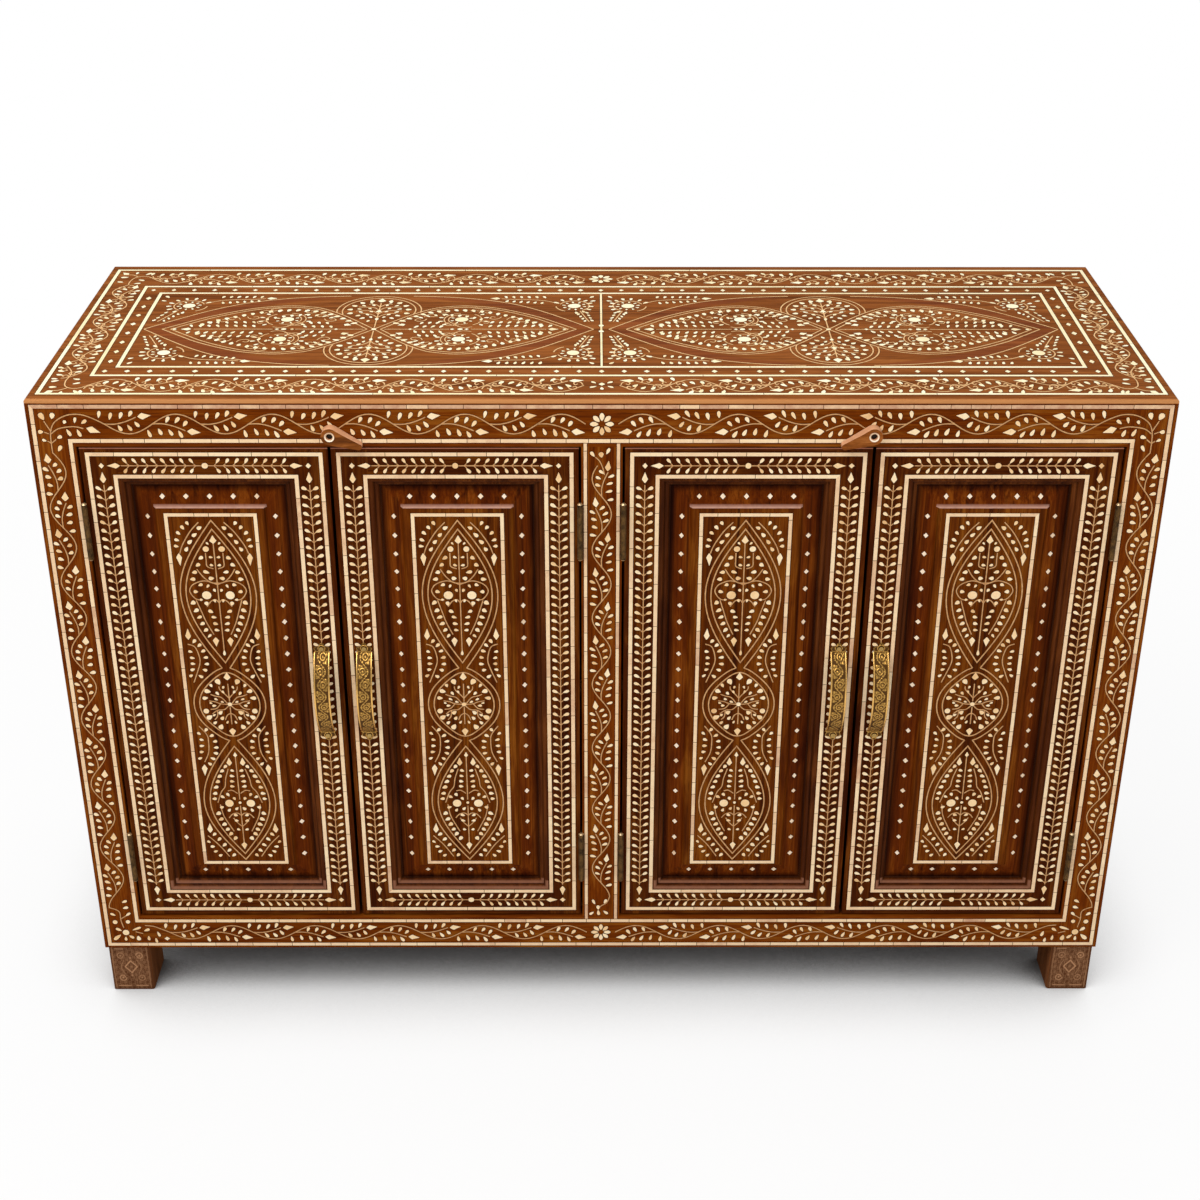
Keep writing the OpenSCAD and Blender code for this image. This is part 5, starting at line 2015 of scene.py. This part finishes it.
@dataclass
class StrapHandle:
    """A bowed brass strap with raised rims and embossed scrolls."""

    length: float = 146.0
    foot: float = 14.0
    thickness: float = 1.65
    relief: float = 0.95
    out: float = 28.5
    across: int = 44
    along: int = 270
    wave: float = 15.5
    scrolls_end: float = 60.0
    screw_z: float = 66.0
    middle_z: float = 499.5
    outline: tuple[Point, ...] = ((0, 10.5), (58, 10.5), (60.5, 9.9), (62.5, 9.0), (64.5, 10.3),
                                  (66.4, 10.4), (67.6, 8.6), (68.5, 4.6), (70.0, 3.5), (72.0, 3.0),
                                  (73.0, 1.0))

    def _bow(self, s: float) -> tuple[float, float, float]:
        """Gives a place along the strap.

        Args:
            s: From -1 at the lower end to 1 at the upper.
        Returns:
            The height along the strap, how far its back lies from the door, and its slope's angle.
        """
        chord = self.length / 2 - self.foot
        rise = self.out - self.thickness - self.relief
        radius = (chord * chord + rise * rise) / (2 * rise)
        half_angle = math.asin(chord / radius)
        run = s * (radius * half_angle + self.foot)
        if abs(run) > radius * half_angle:
            return math.copysign(chord + abs(run) - radius * half_angle, s), 0.0, 0.0
        a = run / radius
        return radius * math.sin(a), radius * math.cos(a) - (radius - rise), a

    def _height(self, u: float, z: float, half: float) -> float:
        """Gives the embossing's height.

        Args:
            u: The place across the strap.
            z: The place along it.
            half: Half the strap's width there.
        Returns:
            The height, from 0 to 1.
        """
        edge = half - abs(u)
        if abs(z) > self.scrolls_end:
            ring = ridge(math.hypot(u, abs(z) - self.screw_z) - 4.4, 0.6)
            bar = ridge(abs(z) - self.scrolls_end - 1.4, 0.5)
            return max(0.9 * ridge(edge - 0.9, 0.5), ring, 0.8 * bar)
        k = math.floor(z / self.wave)
        centre = (k + 0.5) * self.wave
        side = 1 if k % 2 == 0 else -1
        sway = side * 5.2 * math.sin(math.pi * (z / self.wave - k))
        stem = ridge(u - sway, 0.7 + 0.35 * math.cos(2.6 * z))
        scroll = curl((u + side * 1.7) / 5.2, (z - centre) / 5.6, side, 0.7)
        bud = max(ridge(math.hypot(u + side * 5.6, (z - centre - way * 6.6) * 0.55), 1.6)
                  for way in (-1, 1))
        rim = 1.0 if 0.5 < edge < 1.7 else max(ridge(edge - 0.5, 0.5), ridge(edge - 1.7, 0.5))
        return max(rim, 0.85 * stem, scroll * 0.9, bud * 0.8)

    def model(self) -> bpy.types.Object:
        """Models the strap round the origin, from a grid that is bowed, embossed and thickened.

        Returns:
            The strap.
        """
        start_clean()
        bpy.ops.mesh.primitive_grid_add(x_subdivisions=self.across, y_subdivisions=self.along, size=2)
        strap = bpy.context.object
        half_z, half_w = zip(*self.outline)
        tones = []
        for vertex in strap.data.vertices:
            z, back, slope = self._bow(vertex.co.y)
            half = float(np.interp(abs(z), half_z, half_w))
            u = vertex.co.x * half
            height = self._height(u, z, half)
            lift = self.thickness + self.relief * height
            tones.append(height)
            vertex.co = (u * MM, -(back + lift * math.cos(slope)) * MM, (z + lift * math.sin(slope)) * MM)
        set_tone(strap.data, tones)
        thicken(strap, self.thickness, -1.0, 60)
        return strap

    def build(self, palette: Palette) -> None:
        """Copies the strap to each door, in place of the model's plain one.

        Args:
            palette: Where the finishes come from.
        """
        first = self.model()
        for door, (_, x) in DOORS.items():
            copy = copy_to(first, x, FRONT_Y + DOOR_RECESS, self.middle_z)
            finish_piece(copy, f"{door}_strap", door, palette.get(Finish.HANDLE))
            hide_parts(f"{door}_handle")
        bpy.data.objects.remove(first, do_unlink=True)


@dataclass
class ButtonRing:
    """The pale bevelled ring in the mouth of each turn-button's screw hole."""

    inner: float = 4.1
    outer: float = 6.0
    rise: float = 1.1
    wall: float = 0.4
    pivot: tuple[float, float, float] = (331.0, -253.75, 869.0)

    def build(self, palette: Palette) -> None:
        """Models the ring once and copies it to both turn-buttons.

        Args:
            palette: Where the finishes come from.
        """
        start_clean()
        bpy.ops.mesh.primitive_cone_add(vertices=40, radius1=self.inner * MM, radius2=self.outer * MM,
                                        depth=self.rise * MM, end_fill_type="NOTHING",
                                        rotation=(math.pi / 2, 0, 0))
        ring = bpy.context.object
        bpy.ops.object.transform_apply(rotation=True)
        thicken(ring, self.wall, 1.0, 30)
        # Painted highlight and shade: the tone runs from pale on the ring's lower side to deep on its upper
        # side.
        set_tone(ring.data, [0.5 + 0.6 * vertex.co.z / (self.outer * MM) for vertex in ring.data.vertices])
        x, y, z = self.pivot
        for side, name in ((-1, "left"), (1, "right")):
            copy = copy_to(ring, side * x, y - self.rise / 2 + 0.1, z)
            finish_piece(copy, f"{name}_turn_button_ring", f"{name}_turn_button",
                         palette.get(Finish.SLOPE))
        bpy.data.objects.remove(ring, do_unlink=True)


@dataclass
class FootCarving:
    """The shallow carving on the front of each front foot."""

    width: float = 56.0
    height: float = 78.0
    middle_x: float = 669.0
    front_y: float = -232.75
    ground: float = 0.12
    depth: float = 0.75
    sheet: float = 0.4
    middle_z: float = 40.0
    across: int = 76
    along: int = 104

    def _height(self, u: float, z: float) -> float:
        """Gives the carving's height, from 0 to 1, at a place on the foot's face.

        Args:
            u: The place across the foot.
            z: The height from the floor.
        Returns:
            The height, from 0 to 1.
        """
        v = z - self.middle_z
        if abs(u) > 26 or abs(v) > 37:
            return 0.1
        dashes = 1.0 if 3 < abs(u) < 21 and (v < 0 or u < -8) else 0.0
        lines = max(0.55 * ridge(abs(u) - 24.5, 0.8), dashes * ridge(abs(v) - 33.0, 0.9))
        frame = abs(u) / 8.5 + abs(v - 1) / 10.5
        lozenge = max(ridge((frame - 1) * 7.0, 1.2), 0.55 * ridge(frame, 0.35))
        corner = curl((abs(u) - 13.5) / 6.4, (abs(v - 1) - 19.5) / 7.2, 1, 0.35)
        corner *= 0.75 if u * v < 0 else 1.0
        sway = ridge(abs(u) - 11.5 - 2.5 * math.cos(v / 5.0), 0.9) if abs(v) < 13 else 0.0
        tip = 0.8 * ridge(math.hypot(u, (abs(v - 1) - 15.5) * 0.7), 1.8)
        leafy = 0.5 * (0.5 + 0.5 * math.sin(u * 1.5 + 2.2 * math.sin(v * 0.7))
                        * math.sin(v * 1.3 + 2.2 * math.sin(u * 0.6)))
        return max(lines, lozenge, corner, 0.6 * sway, tip, leafy)

    def build(self, palette: Palette) -> None:
        """Models the carved face from a grid and copies it to both front feet.

        Args:
            palette: Where the finishes come from.
        """
        start_clean()
        bpy.ops.mesh.primitive_grid_add(x_subdivisions=self.across, y_subdivisions=self.along, size=2)
        face = bpy.context.object
        tones = []
        for vertex in face.data.vertices:
            u = vertex.co.x * self.width / 2
            z = self.middle_z + vertex.co.y * self.height / 2
            height = self._height(u, z)
            tones.append(height)
            vertex.co = (u * MM, (self.front_y - self.ground - self.depth * height) * MM, z * MM)
        set_tone(face.data, tones)
        thicken(face, self.sheet, -1.0, 60)
        for side, name in ((-1, "left"), (1, "right")):
            finish_piece(copy_to(face, side * self.middle_x, 0, 0), f"front_{name}_foot_carving", "carcass",
                         palette.get(Finish.CARVING))
        bpy.data.objects.remove(face, do_unlink=True)


@dataclass
class Studio:
    """The floor, the lights and the camera of the photograph."""

    lens: float = 57.904
    place: tuple[float, float, float] = (-0.00993, -2.41203, 1.80228)
    pitch: float = 28.203
    yaw: float = 0.209
    roll: float = 0.094
    sensor: float = 36.0
    ambient: float = 0.55
    reflected: float = 0.25

    def build(self) -> None:
        """Sets up the studio."""
        self._camera()
        self._floor()
        self._lights()
        bpy.context.scene.view_settings.view_transform = "Standard"

    def _camera(self) -> None:
        """Puts the camera where the photograph was taken."""
        p, y, r = (math.radians(a) for a in (self.pitch, self.yaw, self.roll))
        forward = Vector((math.sin(y) * math.cos(p), math.cos(y) * math.cos(p), -math.sin(p)))
        right = Vector((math.cos(y), -math.sin(y), 0.0))
        up = right.cross(forward)
        across = right * math.cos(r) + up * math.sin(r)
        above = up * math.cos(r) - right * math.sin(r)
        data = bpy.data.cameras.new("camera")
        data.lens = self.lens
        data.sensor_width = self.sensor
        data.clip_start, data.clip_end = 0.05, 60.0
        camera = bpy.data.objects.new("camera", data)
        bpy.context.collection.objects.link(camera)
        turned = Matrix((across, above, -forward)).transposed().to_4x4()
        camera.matrix_world = Matrix.Translation(self.place) @ turned
        bpy.context.scene.camera = camera

    def _floor(self) -> None:
        """Lays the pale floor, which glows white for the camera except in the object's shadow, and whose
        colour is painted darker there.
        """
        start_clean()
        bpy.ops.mesh.primitive_plane_add(size=40.0, location=(0, 0, 0))
        floor = bpy.context.object
        floor.name = "floor"
        recipe = Recipe("floor_white", Roughness=0.9, Specular_IOR_Level=0.1)
        open_sky = recipe.add("ShaderNodeAmbientOcclusion", {"samples": 12}, {"Distance": 0.22}, out="AO")
        lit = open_sky.over(0.24, 0.86)
        # Painted shadow: the floor's own colour darkens where the object hides the sky.
        recipe.feed(Base_Color=recipe.mix(lit, (0.15,) * 3, (0.86,) * 3))
        away = recipe.add("ShaderNodeVectorMath", {"operation": "LENGTH"}, {0: recipe.object_space()},
                          out="Value").over(0.8, 2.6)
        seen = recipe.add("ShaderNodeLightPath", out="Is Camera Ray")
        share = seen * lit * (0.88 + away * 0.12)
        glow = recipe.add("ShaderNodeEmission", None, {"Color": (1, 1, 1, 1), "Strength": 1.0})
        mixed = recipe.add("ShaderNodeMixShader", None,
                           {0: share, 1: Signal(recipe, recipe.shader.outputs[0]), 2: glow})
        recipe.tree.links.new(mixed.socket, recipe.output.inputs[0])
        floor.data.materials.append(recipe.material)

    def _lights(self) -> None:
        """Hangs the soft lights and sets the world."""
        for name, at, size, power, color in (
                ("key", (-1.1, -1.7, 3.3), 2.2, 74.0, (1.0, 0.98, 0.96)),
                ("fill", (1.9, -2.6, 1.6), 2.4, 15.0, (1.0, 0.98, 0.96)),
                ("back", (0.1, 1.3, 3.7), 2.0, 26.0, (1.0, 0.98, 0.97))):
            data = bpy.data.lights.new(name, "AREA")
            data.shape = "SQUARE"
            data.size = size
            data.energy = power
            data.color = color
            lamp = bpy.data.objects.new(name, data)
            bpy.context.collection.objects.link(lamp)
            aim = Vector((0, 0, 0.55)) - Vector(at)
            lamp.matrix_world = Matrix.Translation(at) @ aim.to_track_quat("-Z", "Y").to_matrix().to_4x4()
        world = bpy.data.worlds.new("studio")
        bpy.context.scene.world = world
        world.use_nodes = True
        nodes, links = world.node_tree.nodes, world.node_tree.links
        nodes.clear()
        path = nodes.new("ShaderNodeLightPath")
        shades = []
        for strength in (self.ambient, self.reflected, 1.0):
            shade = nodes.new("ShaderNodeBackground")
            shade.inputs[0].default_value = (1, 1, 1, 1)
            shade.inputs[1].default_value = strength
            shades.append(shade.outputs[0])
        out = shades[0]
        for ray, shade in (("Is Glossy Ray", shades[1]), ("Is Camera Ray", shades[2])):
            mixer = nodes.new("ShaderNodeMixShader")
            links.new(path.outputs[ray], mixer.inputs[0])
            links.new(out, mixer.inputs[1])
            links.new(shade, mixer.inputs[2])
            out = mixer.outputs[0]
        links.new(out, nodes.new("ShaderNodeOutputWorld").inputs[0])


def main() -> None:
    """Builds the studio and dresses the sideboard."""
    logging.basicConfig(level=logging.INFO, format="%(name)s: %(message)s")
    rng = random.Random(SEED)
    palette = Palette()
    Studio().build()
    WoodWork().build(palette)
    CaseFront().build(palette, rng)
    for name, (x, _) in DOORS.items():
        DoorDress(name, x).build(palette, rng)
    StrapHandle().build(palette)
    ButtonRing().build(palette)
    FootCarving().build(palette)
    TopDress().build(palette, rng)


if __name__ == "__main__":
    main()
